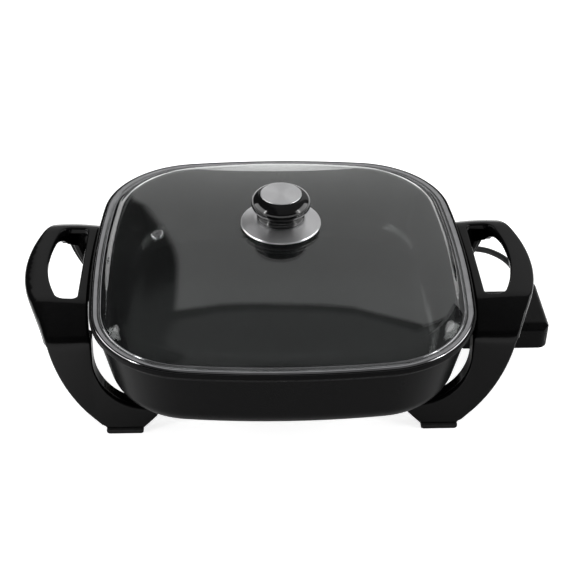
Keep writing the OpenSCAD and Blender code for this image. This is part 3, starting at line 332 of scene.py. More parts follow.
class Recipe:
    """A material's nodes, put together step by step."""

    LOW: ClassVar[float] = 0.3  # noise seldom falls below this
    HIGH: ClassVar[float] = 0.7  # noise seldom rises above this

    def __init__(self, name: str) -> None:
        """Starts a material with one principled shader.

        Args:
            name: The material's name.
        """
        self.material = bpy.data.materials.new(name)
        self.material.use_nodes = True
        self.tree = self.material.node_tree
        self.tree.nodes.clear()
        self.out = self.node("ShaderNodeOutputMaterial")
        self.shader = self.node("ShaderNodeBsdfPrincipled")
        self.link(self.shader, "BSDF", self.out, "Surface")

    def node(self, kind: str, **settings: object) -> bpy.types.Node:
        """Adds a node.

        Args:
            kind: The node's type.
            **settings: Properties of the node to set.

        Returns:
            The new node.
        """
        made = self.tree.nodes.new(kind)
        for key, value in settings.items():
            setattr(made, key, value)
        return made

    def link(
        self, source: bpy.types.Node, output: str, target: bpy.types.Node, socket: str
    ) -> None:
        """Links an output to an input, both by name."""
        self.tree.links.new(source.outputs[output], target.inputs[socket])

    def set(self, **sockets: object) -> None:
        """Sets the principled shader's own sockets, with _ for a space in a name."""
        for key, value in sockets.items():
            self.shader.inputs[key.replace("_", " ")].default_value = value

    def position(self, stretch: Point3 = (1.0, 1.0, 1.0)) -> bpy.types.Node:
        """Gives the surface's own position, stretched along its axes.

        Args:
            stretch: The scale along X, Y and Z.

        Returns:
            A mapping node with a Vector output.
        """
        where = self.node("ShaderNodeTexCoord")
        mapping = self.node("ShaderNodeMapping")
        mapping.inputs["Scale"].default_value = stretch
        self.link(where, "Object", mapping, "Vector")
        return mapping

    def radius(self, middle: Point2) -> bpy.types.Node:
        """Gives the distance from an upright axis.

        Args:
            middle: The axis's x and y in metres.

        Returns:
            A node with a Value output.
        """
        flat = self.position((1.0, 1.0, 0.0))
        flat.inputs["Location"].default_value = (-middle[0], -middle[1], 0.0)
        reach = self.node("ShaderNodeVectorMath", operation="LENGTH")
        self.link(flat, "Vector", reach, "Vector")
        return reach

    def noise(
        self, grain: float, detail: float = 3.0, source: bpy.types.Node | None = None
    ) -> bpy.types.Node:
        """Adds noise whose grains are about this size.

        Args:
            grain: The size of a grain in millimetres.
            detail: How many finer octaves it has.
            source: A node with a Vector output, or none for the position.

        Returns:
            The noise node, with a Fac output.
        """
        made = self.node("ShaderNodeTexNoise")
        made.inputs["Scale"].default_value = 1.0 / (grain * MM)
        made.inputs["Detail"].default_value = detail
        made.inputs["Roughness"].default_value = 0.6
        self.link(source or self.position(), "Vector", made, "Vector")
        return made

    def spread(
        self, source: bpy.types.Node, low: float, high: float, output: str = "Fac"
    ) -> bpy.types.Node:
        """Maps noise to another range.

        Args:
            source: The node that gives the noise.
            low: The result at the noise's low end.
            high: The result at its high end.
            output: The name of the source's output.

        Returns:
            A node with a Result output.
        """
        made = self.node("ShaderNodeMapRange")
        ends = {"From Min": self.LOW, "From Max": self.HIGH, "To Min": low, "To Max": high}
        for socket, value in ends.items():
            made.inputs[socket].default_value = value
        self.link(source, output, made, "Value")
        return made

    def tint(
        self, source: bpy.types.Node, dark: Point3, light: Point3, output: str = "Fac"
    ) -> None:
        """Varies the base colour between two colours.

        Args:
            source: The node that gives the mix.
            dark: The colour at the low end.
            light: The colour at the high end.
            output: The name of the source's output.
        """
        ramp = self.node("ShaderNodeValToRGB")
        stops = zip(ramp.color_ramp.elements, (self.LOW, self.HIGH), (dark, light))
        for stop, place_on_ramp, colour in stops:
            stop.position = place_on_ramp
            stop.color = (*colour, 1)
        self.link(source, output, ramp, "Fac")
        self.link(ramp, "Color", self.shader, "Base Color")

    def roughen(self, source: bpy.types.Node, low: float, high: float) -> None:
        """Varies the roughness between two values."""
        self.link(self.spread(source, low, high), "Result", self.shader, "Roughness")

    def bump(
        self,
        source: bpy.types.Node,
        height: float,
        strength: float = 1.0,
        output: str = "Fac",
        under: bpy.types.Node | None = None,
    ) -> bpy.types.Node:
        """Raises the surface by a value.

        Args:
            source: The node that gives the value.
            height: The height in millimetres at 1.
            strength: How much of the bump shows.
            output: The name of the source's output.
            under: Another bump, which this one lies on.

        Returns:
            The bump node.
        """
        made = self.node("ShaderNodeBump")
        made.inputs["Distance"].default_value = height * MM
        made.inputs["Strength"].default_value = strength
        self.link(source, output, made, "Height")
        if under:
            self.link(under, "Normal", made, "Normal")
        self.link(made, "Normal", self.shader, "Normal")
        return made


@dataclass(frozen=True)
class CoatedCast:
    """Non-stick coating on cast aluminium: satin, dark, with a very fine fleck."""

    name: str = "satin_coating"
    dark: Point3 = (0.0068, 0.0068, 0.0072)
    light: Point3 = (0.0092, 0.0092, 0.0097)
    roughness: float = 0.24
    gloss: float = 0.22

    FLECK: ClassVar[float] = 0.7  # the size of a fleck in millimetres
    CLOUD: ClassVar[float] = 24.0  # the size of a patch of one gloss in millimetres
    HEIGHT: ClassVar[float] = 0.003  # how high a fleck stands in millimetres
    SHOWS: ClassVar[float] = 0.08  # how much of that height shows

    def build(self) -> bpy.types.Material:
        """Makes the material.

        Returns:
            The new material.
        """
        recipe = Recipe(self.name)
        fleck = recipe.noise(self.FLECK, 4.0)
        recipe.tint(fleck, self.dark, self.light)
        cloud = recipe.noise(self.CLOUD, 2.0)
        recipe.roughen(cloud, self.roughness - 0.01, self.roughness + 0.015)
        recipe.bump(fleck, self.HEIGHT, self.SHOWS)
        recipe.set(Specular_IOR_Level=self.gloss)
        return recipe.material


@dataclass(frozen=True)
class Moulding:
    """Moulded plastic with a faint flow in its colour and gloss, and a fine grain."""

    name: str
    dark: Point3
    light: Point3
    roughness: float
    gloss: float = 0.5
    grain: float = 6.0
    height: float = 0.02
    fine: float = 0.35
    fine_height: float = 0.002

    SMOOTHEST: ClassVar[float] = 0.85  # of its roughness
    ROUGHEST: ClassVar[float] = 1.2  # of its roughness
    FLOW_SHOWS: ClassVar[float] = 0.25  # how much of the flow's height shows
    FINE_SHOWS: ClassVar[float] = 0.5  # how much of the grain's height shows

    def build(self) -> bpy.types.Material:
        """Makes the material.

        Returns:
            The new material.
        """
        recipe = Recipe(self.name)
        flow = recipe.noise(self.grain, 2.0)
        recipe.tint(flow, self.dark, self.light)
        cloud = recipe.noise(self.grain * 3, 3.0)
        recipe.roughen(cloud, self.roughness * self.SMOOTHEST, self.roughness * self.ROUGHEST)
        low = recipe.bump(flow, self.height, self.FLOW_SHOWS)
        recipe.bump(recipe.noise(self.fine, 2.0), self.fine_height, self.FINE_SHOWS, under=low)
        recipe.set(Specular_IOR_Level=self.gloss)
        return recipe.material


@dataclass(frozen=True)
class Metal:
    """Worked metal: its colour and how fine its polish is."""

    name: str
    dark: Point3
    light: Point3
    roughness: float
    grain: float = 0.4
    height: float = 0.003
    stretch: Point3 = (1.0, 1.0, 1.0)

    CLOUD: ClassVar[float] = 14.0  # the size of a patch of one polish in millimetres
    SMOOTHEST: ClassVar[float] = 0.85  # of its roughness
    ROUGHEST: ClassVar[float] = 1.25  # of its roughness
    SHOWS: ClassVar[float] = 0.5  # how much of the grain's height shows

    def build(self) -> bpy.types.Material:
        """Makes the material.

        Returns:
            The new material.
        """
        recipe = Recipe(self.name)
        cloud = recipe.noise(self.CLOUD, 2.0)
        recipe.tint(cloud, self.dark, self.light)
        recipe.roughen(cloud, self.roughness * self.SMOOTHEST, self.roughness * self.ROUGHEST)
        grain = recipe.noise(self.grain, 3.0, recipe.position(self.stretch))
        recipe.bump(grain, self.height, self.SHOWS)
        recipe.set(Metallic=1.0)
        return recipe.material


@dataclass(frozen=True)
class TurnedSteel:
    """Steel brushed in circles round the knob's axis."""

    name: str = "turned_steel"
    dark: Point3 = (0.66, 0.66, 0.67)
    light: Point3 = (0.86, 0.86, 0.87)
    roughness: float = 0.34
    line: float = 0.25
    height: float = 0.004
    sheen: float = 0.75

    def build(self) -> bpy.types.Material:
        """Makes the material.

        Returns:
            The new material.
        """
        recipe = Recipe(self.name)
        across = recipe.node("ShaderNodeCombineXYZ")
        recipe.link(recipe.radius((PAN_X * MM, 0.0)), "Value", across, "X")
        rings = recipe.noise(self.line, 3.0, across)
        recipe.tint(rings, self.dark, self.light)
        recipe.roughen(rings, self.roughness * 0.8, self.roughness * 1.3)
        recipe.bump(rings, self.height, 0.5)
        recipe.set(Metallic=1.0, Anisotropic=self.sheen, Anisotropic_Rotation=0.25)
        return recipe.material


@dataclass(frozen=True)
class LidGlass:
    """Clear toughened glass that lets the lamps' light through to the pan."""

    name: str = "clear_lid_glass"
    colour: Point3 = (0.90, 0.93, 0.92)
    shadow: Point3 = (0.86, 0.88, 0.87)
    bend: float = 1.46
    wave: float = 60.0
    wave_height: float = 0.05

    def build(self) -> bpy.types.Material:
        """Makes the material.

        Returns:
            The new material.
        """
        recipe = Recipe(self.name)
        recipe.set(
            Base_Color=(*self.colour, 1),
            Roughness=0.0,
            IOR=self.bend,
            Transmission_Weight=1.0,
        )
        recipe.bump(recipe.noise(self.wave, 1.0), self.wave_height, 0.12)
        through = recipe.node("ShaderNodeBsdfTransparent")
        through.inputs["Color"].default_value = (*self.shadow, 1)
        rays = recipe.node("ShaderNodeLightPath")
        mix = recipe.node("ShaderNodeMixShader")
        recipe.link(rays, "Is Shadow Ray", mix, "Fac")
        recipe.tree.links.new(recipe.shader.outputs["BSDF"], mix.inputs[1])
        recipe.tree.links.new(through.outputs["BSDF"], mix.inputs[2])
        recipe.link(mix, "Shader", recipe.out, "Surface")
        return recipe.material


class Finish(Enum):
    """The finishes of the skillet, each with its recipe."""

    COATING = CoatedCast()
    # The outside is the same coating made darker and duller: painted shade on the pan's outer wall.
    COATING_OUTSIDE = CoatedCast(
        "satin_coating_outside", (0.0028, 0.0028, 0.0030), (0.0050, 0.0050, 0.0053), 0.26, 0.05
    )
    HANDLE = Moulding(
        "handle_plastic", (0.0022, 0.0022, 0.0023), (0.0032, 0.0032, 0.0034), 0.12, 0.17
    )
    CONTROLLER = Moulding(
        "controller_plastic", (0.0030, 0.0030, 0.0032), (0.0046, 0.0046, 0.0049), 0.28,
        0.09, 5.0, 0.02, 0.30, 0.008,
    )
    KNOB = Moulding(
        "knob_plastic", (0.0034, 0.0034, 0.0036), (0.0044, 0.0044, 0.0047), 0.09, 0.5,
        8.0, 0.01, 0.4, 0.001,
    )
    GLASS = LidGlass()
    BAND = Metal(
        "polished_band", (0.33, 0.33, 0.34), (0.40, 0.40, 0.41), 0.08, 0.5, 0.002
    )
    TURNED = TurnedSteel()
    STEEL = Metal("plain_steel", (0.50, 0.50, 0.51), (0.62, 0.62, 0.63), 0.22, 0.5, 0.004)
    PIN = Metal("plated_pin", (0.62, 0.60, 0.54), (0.74, 0.72, 0.66), 0.18, 0.6, 0.002)
    BRASS = Metal("turned_brass", (0.55, 0.38, 0.12), (0.68, 0.50, 0.20), 0.25, 0.5, 0.004)
    SHEATH = Metal("sheath_steel", (0.20, 0.19, 0.17), (0.30, 0.28, 0.25), 0.48, 0.8, 0.01)
    SHEET = Metal(
        "pressed_sheet", (0.36, 0.36, 0.35), (0.46, 0.46, 0.45), 0.38, 0.5, 0.006, (1.0, 0.1, 1.0)
    )
    CERAMIC = Moulding(
        "fired_ceramic", (0.70, 0.67, 0.60), (0.78, 0.75, 0.68), 0.42, 0.5, 3.0, 0.02, 0.3, 0.006
    )
    RUBBER = Moulding(
        "foot_rubber", (0.010, 0.010, 0.010), (0.016, 0.016, 0.016), 0.72, 0.25,
        2.0, 0.04, 0.25, 0.012,
    )
    CORD = Moulding(
        "cord_jacket", (0.007, 0.007, 0.0073), (0.011, 0.011, 0.0114), 0.42, 0.30,
        3.0, 0.03, 0.3, 0.006,
    )
    TIE = Moulding("tie_strap", (0.010, 0.010, 0.010), (0.015, 0.015, 0.015), 0.40)
    WASHER = Moulding(
        "soft_silicone", (0.012, 0.012, 0.012), (0.018, 0.018, 0.018), 0.55
    )
    LENS = Moulding("lens_amber", (0.70, 0.20, 0.02), (0.80, 0.27, 0.03), 0.12, 0.5)
    LAMP = Moulding("lamp_bulb", (0.62, 0.55, 0.45), (0.72, 0.65, 0.55), 0.10, 0.5)

    def material(self) -> bpy.types.Material:
        """Gives the finish's material, which is made once.

        Returns:
            The material.
        """
        if self not in MADE:
            MADE[self] = self.value.build()
        return MADE[self]


MADE: dict[Finish, bpy.types.Material] = {}


def dress(piece: bpy.types.Object, *finishes: Finish) -> None:
    """Puts finishes in the piece's material slots, in order.

    Args:
        piece: The piece.
        *finishes: Its finishes, slot by slot.
    """
    slots = piece.data.materials
    for i, finish in enumerate(finishes):
        if i < len(slots):
            slots[i] = finish.material()
        else:
            slots.append(finish.material())


def dress_node(node: str, finish: Finish, edge: float = 0.0) -> bpy.types.Object:
    """Finishes a CAD node, and softens its edges.

    Args:
        node: The node's name.
        finish: Its finish.
        edge: The rounding of its edges in millimetres, or nought for none.

    Returns:
        The node's object.
    """
    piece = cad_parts[node]
    dress(piece, *[finish] * max(1, len(piece.data.materials)))
    weld = piece.modifiers.new("one_skin", "WELD")
    weld.merge_threshold = 1e-6
    if edge > 0:
        bevel = piece.modifiers.new("soft_edges", "BEVEL")
        bevel.width = edge * MM
        bevel.segments = 2
        bevel.limit_method = "ANGLE"
        bevel.angle_limit = math.radians(40)
        bevel.harden_normals = False
    split = piece.modifiers.new("crisp_edges", "EDGE_SPLIT")
    split.split_angle = math.radians(38)
    return piece


def carry(
    piece: bpy.types.Object, body: str, slot: str, nodes: Sequence[str], *finishes: Finish
) -> bpy.types.Object:
    """Finishes a piece, and lets it ride on its body in place of CAD nodes.

    Args:
        piece: The piece.
        body: The name of the body that carries it.
        slot: Not used.
        nodes: The CAD nodes that it stands for, if any.
        *finishes: The finishes of its material slots.

    Returns:
        The piece.
    """
    dress(piece, *finishes)
    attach(piece, body)
    if nodes:
        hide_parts(*nodes)
    return piece


# ------------------------------------------------------- camera and lights


@dataclass(frozen=True)
class StudioCamera:
    """The camera at the photograph's viewing angle."""

    target: Point3 = (-4.72, -47.16, 112.0)
    distance: float = 984.32
    elevation: float = 36.060
    azimuth: float = -2.661
    roll: float = 0.880
    focal_pixels: float = 1233.84
    frame_pixels: float = 576.0
    sensor: float = 36.0

    def build(self) -> bpy.types.Object:
        """Makes the camera and puts it in use.

        Returns:
            The camera.
        """
        el, az, ro = (math.radians(a) for a in (self.elevation, self.azimuth, self.roll))
        back = Vector(
            (math.sin(az) * math.cos(el), -math.cos(az) * math.cos(el), math.sin(el))
        )
        right = Vector((0, 0, 1)).cross(back).normalized()
        up = back.cross(right)
        right, up = (
            right * math.cos(ro) + up * math.sin(ro),
            up * math.cos(ro) - right * math.sin(ro),
        )
        data = bpy.data.cameras.new("studio_camera")
        data.sensor_width = self.sensor
        data.sensor_fit = "HORIZONTAL"
        data.lens = self.focal_pixels / self.frame_pixels * self.sensor
        data.clip_start = 0.01
        data.clip_end = 50.0
        camera = add_object("studio_camera", data)
        where = Vector(self.target) * MM + back * (self.distance * MM)
        rows = Matrix((right, up, back)).transposed().to_4x4()
        camera.matrix_world = Matrix.Translation(where) @ rows
        bpy.context.scene.camera = camera
        return camera


@dataclass(frozen=True)
class SoftBox:
    """One flat studio lamp: where it hangs, what it faces, and how bright its face is."""

    name: str
    where: Point3
    facing: Point3
    width: float
    height: float
    level: float
    mirrored: bool = True

    def build(self) -> bpy.types.Object:
        """Makes the lamp.

        Returns:
            The lamp, unseen by the camera.
        """
        data = bpy.data.lights.new(self.name, "AREA")
        data.shape = "RECTANGLE"
        data.size, data.size_y = self.width, self.height
        data.energy = self.level * math.pi * self.width * self.height
        lamp = add_object(self.name, data)
        lamp.location = self.where
        aim = Vector(self.facing) - Vector(self.where)
        lamp.rotation_euler = aim.to_track_quat("-Z", "Y").to_euler()
        lamp.visible_camera = False
        lamp.visible_glossy = self.mirrored
        lamp.visible_transmission = self.mirrored
        return lamp


class Maths:
    """Sums on a node tree, for the light of the surroundings."""

    def __init__(self, tree: bpy.types.NodeTree) -> None:
        """Keeps the tree that the sums are added to."""
        self.tree = tree

    def sum(self, kind: str, *terms: "float | bpy.types.NodeSocket") -> bpy.types.NodeSocket:
        """Adds one sum.

        Args:
            kind: The kind of the Math node.
            *terms: Numbers, or outputs of other nodes.

        Returns:
            The sum's output.
        """
        made = self.tree.nodes.new("ShaderNodeMath")
        made.operation = kind
        for i, term in enumerate(terms):
            if isinstance(term, (int, float)):
                made.inputs[i].default_value = term
            else:
                self.tree.links.new(term, made.inputs[i])
        return made.outputs[0]

    def product(self, *terms: "float | bpy.types.NodeSocket") -> bpy.types.NodeSocket:
        """Multiplies all the terms.

        Args:
            *terms: Numbers, or outputs of other nodes.

        Returns:
            The product's output.
        """
        result = terms[0]
        for term in terms[1:]:
            result = self.sum("MULTIPLY", result, term)
        return result

    def step(
        self, value: bpy.types.NodeSocket, low: float, high: float
    ) -> bpy.types.NodeSocket:
        """Rises smoothly from 0 at low to 1 at high.

        Args:
            value: The output that is tested.
            low: Where the result is 0.
            high: Where the result is 1. It may be the smaller of the two.

        Returns:
            The result's output.
        """
        made = self.tree.nodes.new("ShaderNodeMapRange")
        made.interpolation_type = "SMOOTHSTEP"
        swap = low > high
        made.inputs["From Min"].default_value = min(low, high)
        made.inputs["From Max"].default_value = max(low, high)
        made.inputs["To Min"].default_value = 1.0 if swap else 0.0
        made.inputs["To Max"].default_value = 0.0 if swap else 1.0
        self.tree.links.new(value, made.inputs["Value"])
        return made.outputs["Result"]

    def between(self, value: bpy.types.NodeSocket, edges: Slopes) -> bpy.types.NodeSocket:
        """Gives 1 between the two middle edges, and falls to 0 at the outer ones."""
        a, b, c, d = edges
        return self.product(self.step(value, a, b), self.step(value, d, c))


@dataclass(frozen=True)
class Surroundings:
    """What gloss and glass mirror, while the camera sees plain white.

    A white wall with an arched top stands behind the skillet, with a ceiling over
    it and a dim room in front. Places are slopes from the skillet's middle: across
    and height are x and z over the distance behind, and along and rise are y and z
    over the distance to the side.
    """

    wall: float = 0.71
    ceiling: float = 0.17
    room: float = 0.04
    window: float = 3.0
    sides: float = 3.0
    arch_middle: float = 0.10
    arch_top: float = 2.02
    arch_curve: float = 2.0
    wall_left: float = -0.30
    wall_lean: float = 0.10
    window_across: Slopes = (-2.1, -1.7, -0.50, -0.40)
    window_height: Slopes = (0.34, 0.44, 0.72, 0.82)
    side_along: Slopes = (-0.66, -0.60, 0.54, 0.60)
    side_top: Point2 = (0.72, 0.64)

    NEAREST: ClassVar[float] = 0.05  # the least distance that a slope is divided by
    THROUGH_TWICE: ClassVar[float] = 3.5  # faces crossed by light that is back out of the lid

    def behind(
        self, maths: Maths, x: bpy.types.NodeSocket, y: bpy.types.NodeSocket,
        z: bpy.types.NodeSocket,
    ) -> bpy.types.NodeSocket:
        """Lights the wall, the ceiling and the window over the dim room.

        Args:
            maths: The sums of the world's tree.
            x: The direction's x.
            y: The direction's y.
            z: The direction's z.

        Returns:
            The output that gives their level.
        """
        ahead = maths.sum("MAXIMUM", y, self.NEAREST)
        across = maths.sum("DIVIDE", x, ahead)
        height = maths.sum("DIVIDE", z, ahead)
        off = maths.sum("SUBTRACT", across, self.arch_middle)
        arch = maths.sum(
            "MULTIPLY_ADD", maths.product(off, off), -self.arch_curve, self.arch_top
        )
        below_arch = maths.sum("SUBTRACT", arch, height)
        edge = maths.sum("MULTIPLY_ADD", height, self.wall_lean, -self.wall_left)
        fade = maths.sum("MULTIPLY_ADD", maths.step(height, -0.2, 1.2), 0.5, 0.5)
        wall = maths.product(
            maths.step(below_arch, 0.0, 0.06),
            maths.step(maths.sum("ADD", across, edge), -0.02, 0.02),
            maths.step(y, 0.02, 0.10),
            fade,
        )
        ceiling = maths.product(
            maths.step(below_arch, -0.14, -0.20),
            maths.step(z, 0.30, 0.36),
            maths.step(x, -0.26, -0.20),
        )
        level = maths.sum("MULTIPLY_ADD", wall, self.wall - self.room, self.room)
        level = maths.sum("MULTIPLY_ADD", ceiling, self.ceiling - self.room, level)
        rays = maths.tree.nodes.new("ShaderNodeLightPath").outputs
        window = maths.product(
            maths.between(across, self.window_across),
            maths.between(height, self.window_height),
            maths.sum("GREATER_THAN", rays["Transmission Depth"], self.THROUGH_TWICE),
            rays["Is Transmission Ray"],
        )
        return maths.sum("MULTIPLY_ADD", window, self.window, level)

    def beside(
        self, maths: Maths, x: bpy.types.NodeSocket, y: bpy.types.NodeSocket,
        z: bpy.types.NodeSocket,
    ) -> bpy.types.NodeSocket:
        """Shapes the bright panels on the left and the right.

        Args:
            maths: The sums of the world's tree.
            x: The direction's x.
            y: The direction's y.
            z: The direction's z.

        Returns:
            The output that is 1 on the panels.
        """
        aside = maths.sum("MAXIMUM", maths.sum("ABSOLUTE", x), self.NEAREST)
        along = maths.sum("DIVIDE", y, aside)
        rise = maths.sum("DIVIDE", z, aside)
        return maths.product(
            maths.between(along, self.side_along), maths.step(rise, *self.side_top)
        )

    def build(self) -> None:
        """Makes the world."""
        world = bpy.data.worlds.new("studio")
        bpy.context.scene.world = world
        world.use_nodes = True
        tree = world.node_tree
        tree.nodes.clear()
        maths = Maths(tree)
        parts = tree.nodes.new("ShaderNodeSeparateXYZ")
        where = tree.nodes.new("ShaderNodeTexCoord")
        tree.links.new(where.outputs["Generated"], parts.inputs[0])
        level = self.behind(maths, *parts.outputs)
        panels = self.beside(maths, *parts.outputs)
        level = maths.sum("MULTIPLY_ADD", panels, self.sides, level)
        rays = tree.nodes.new("ShaderNodeLightPath").outputs
        bounced = maths.sum("ADD", rays["Glossy Depth"], rays["Diffuse Depth"])
        straight = maths.sum("LESS_THAN", bounced, 0.5)
        through = maths.product(rays["Is Transmission Ray"], straight)
        seen = maths.sum("MAXIMUM", rays["Is Camera Ray"], through)
        white = maths.sum("SUBTRACT", 1.0, level)
        level = maths.sum("MULTIPLY_ADD", seen, white, level)
        shade_node = tree.nodes.new("ShaderNodeBackground")
        shade_node.inputs["Color"].default_value = (1, 1, 1, 1)
        tree.links.new(level, shade_node.inputs["Strength"])
        out = tree.nodes.new("ShaderNodeOutputWorld")
        tree.links.new(shade_node.outputs[0], out.inputs["Surface"])


@dataclass(frozen=True)
class Studio:
    """The pale floor, the surroundings and the lamps."""

    floor_light: float = 0.80
    floor_size: float = 60.0
    # The painted shadow that gloss sees on the floor: its middle, the reach over which it fades
    # out, and its darkest level.
    shade_middle: Point2 = (0.10, -0.10)
    shade_reach: Point2 = (0.16, 0.46)
    shade_level: float = 0.08
    boxes: tuple[SoftBox, ...] = (
        SoftBox("top_box", (0.0, -0.2, 2.0), (0, 0, 0), 1.8, 1.8, 1.25, False),
        SoftBox("left_box", (-1.25, -0.62, 0.50), (0, 0, 0.1), 0.10, 0.96, 14.0),
        SoftBox("right_box", (1.30, -0.50, 0.50), (0, 0, 0.1), 0.10, 0.96, 12.0),
    )

    def floor(self) -> bpy.types.Object:
        """Makes the floor, which shows as white and keeps the skillet's shadow.

        Gloss mirrors it white too, but for a painted shadow under and round the skillet.

        Returns:
            The floor.
        """
        mesh = bpy.data.meshes.new("studio_floor")
        s = self.floor_size / 2
        mesh.from_pydata([(-s, -s, 0), (s, -s, 0), (s, s, 0), (-s, s, 0)], [], [(0, 1, 2, 3)])
        floor = add_object("studio_floor", mesh)
        recipe = Recipe("studio_floor")
        recipe.tint(recipe.noise(300.0, 2.0), (0.80, 0.80, 0.80), (0.82, 0.82, 0.82))
        recipe.set(Roughness=0.9, Specular_IOR_Level=0.1)
        maths = Maths(recipe.tree)
        rays = recipe.node("ShaderNodeLightPath").outputs
        # The glow that gloss sees is painted darker round shade_middle: a painted shadow under and
        # round the skillet.
        reach = recipe.radius(self.shade_middle)
        clear_of_painted_shadow = maths.step(reach.outputs["Value"], *self.shade_reach)
        painted_shadow_glow = maths.sum("MULTIPLY_ADD", clear_of_painted_shadow, 1.0 - self.shade_level, self.shade_level)
        seen = maths.sum("MAXIMUM", rays["Is Camera Ray"], rays["Is Transmission Ray"])
        total = maths.sum("MAXIMUM", seen, maths.product(rays["Is Glossy Ray"], painted_shadow_glow))
        glow = recipe.node("ShaderNodeEmission")
        recipe.tree.links.new(maths.product(total, self.floor_light), glow.inputs["Strength"])
        both = recipe.node("ShaderNodeAddShader")
        recipe.tree.links.new(recipe.shader.outputs["BSDF"], both.inputs[0])
        recipe.tree.links.new(glow.outputs[0], both.inputs[1])
        recipe.link(both, "Shader", recipe.out, "Surface")
        floor.data.materials.append(recipe.material)
        return floor

    def build(self) -> None:
        """Makes the surroundings, the floor and the lamps."""
        bpy.context.scene.view_settings.view_transform = "Standard"
        Surroundings().build()
        self.floor()
        for box in self.boxes:
            box.build()


# --------------------------------------------------------------- the cord


@dataclass(frozen=True)
class MainsCord:
    """The cord from the controller to its plug, and how it lies put away."""

    diameter: float = 5.6
    route: tuple[Point3, ...] = (
        (217.5, 58.5, 43.45), (217.5, 64.5, 43.45), (217, 70, 43.5), (214.5, 82, 43),
        (210.5, 93, 41.5), (205.5, 103.5, 39), (199.5, 114, 35.5), (192, 123.5, 31),
        (183, 131.5, 26), (172.5, 138.5, 20.5), (161, 144.5, 15), (149.5, 150, 10),
        (138, 155, 5.5), (126, 160, 3.3), (113.5, 164, 2.9), (101, 166.5, 2.9),
        (88.5, 168, 3.3), (82, 168, 3.8),
    )
    coil_middle: Point2 = (68.0, 204.0)
    coil_radius: float = 36.0
    coil_z: float = 3.8
    coil_lap: float = 6.2
    turns: int = 3
    steps: int = 24
    lead_out: tuple[Point3, ...] = ((49.6, 168, 10), (44, 168, 10))

    def coil(self) -> list[Point3]:
        """Gives the points of the coil, which winds in on the table and out on top.

        Returns:
            Points from the coil's start to its end.
        """
        points = []
        cx, cy = self.coil_middle
        total = 360.0 * self.turns
        for i in range(self.steps * self.turns + 1):
            a = 360.0 * i / self.steps
            r = self.coil_radius - self.coil_lap * min(a, total - a) / 360.0
            climb = min(max((a - total / 2) / 180.0 + 0.5, 0.0), 1.0)
            z = self.coil_z + self.coil_lap * climb
            t = math.radians(a)
            points.append((cx - r * math.sin(t), cy - r * math.cos(t), z))
        return points

    def centre_line(self) -> list[Point3]:
        """Gives the whole route, drawn smooth through its points.

        Returns:
            Closely spaced points from the controller to the plug.
        """
        stops = [Vector(p) for p in (*self.route, *self.coil(), *self.lead_out)]
        ends = [stops[0] * 2 - stops[1], *stops, stops[-1] * 2 - stops[-2]]
        line = []
        for a, b, c, d in zip(ends, ends[1:], ends[2:], ends[3:]):
            for i in range(3):
                t = i / 3
                square = (2 * a - 5 * b + 4 * c - d) * t * t
                cube = (3 * b - a - 3 * c + d) * t**3
                line.append(0.5 * (2 * b + (c - a) * t + square + cube))
        line.append(stops[-1])
        return [tuple(p) for p in line]

    def build(self) -> bpy.types.Object:
        """Returns:
            The cord.
        """
        line = self.centre_line()
        curve = bpy.data.curves.new("mains_cord", "CURVE")
        curve.dimensions = "3D"
        curve.bevel_depth = self.diameter / 2 * MM
        curve.bevel_resolution = 5
        curve.use_fill_caps = True
        spline = curve.splines.new("POLY")
        spline.points.add(len(line) - 1)
        for point, where in zip(spline.points, line):
            point.co = (*place(where), 1)
        spline.use_smooth = True
        cord = add_object("mains_cord", curve)
        carry(cord, "controller", "cord_rubber", ("cord", "cord_coil"), Finish.CORD)
        tie = dress_node("coil_tie", Finish.TIE, 0.3)
        body = dress_node("plug_body", Finish.CORD, 0.6)
        blades = dress_node("plug_blades", Finish.PIN, 0.15)
        return cord


# ------------------------------------------------------------ pan and lid


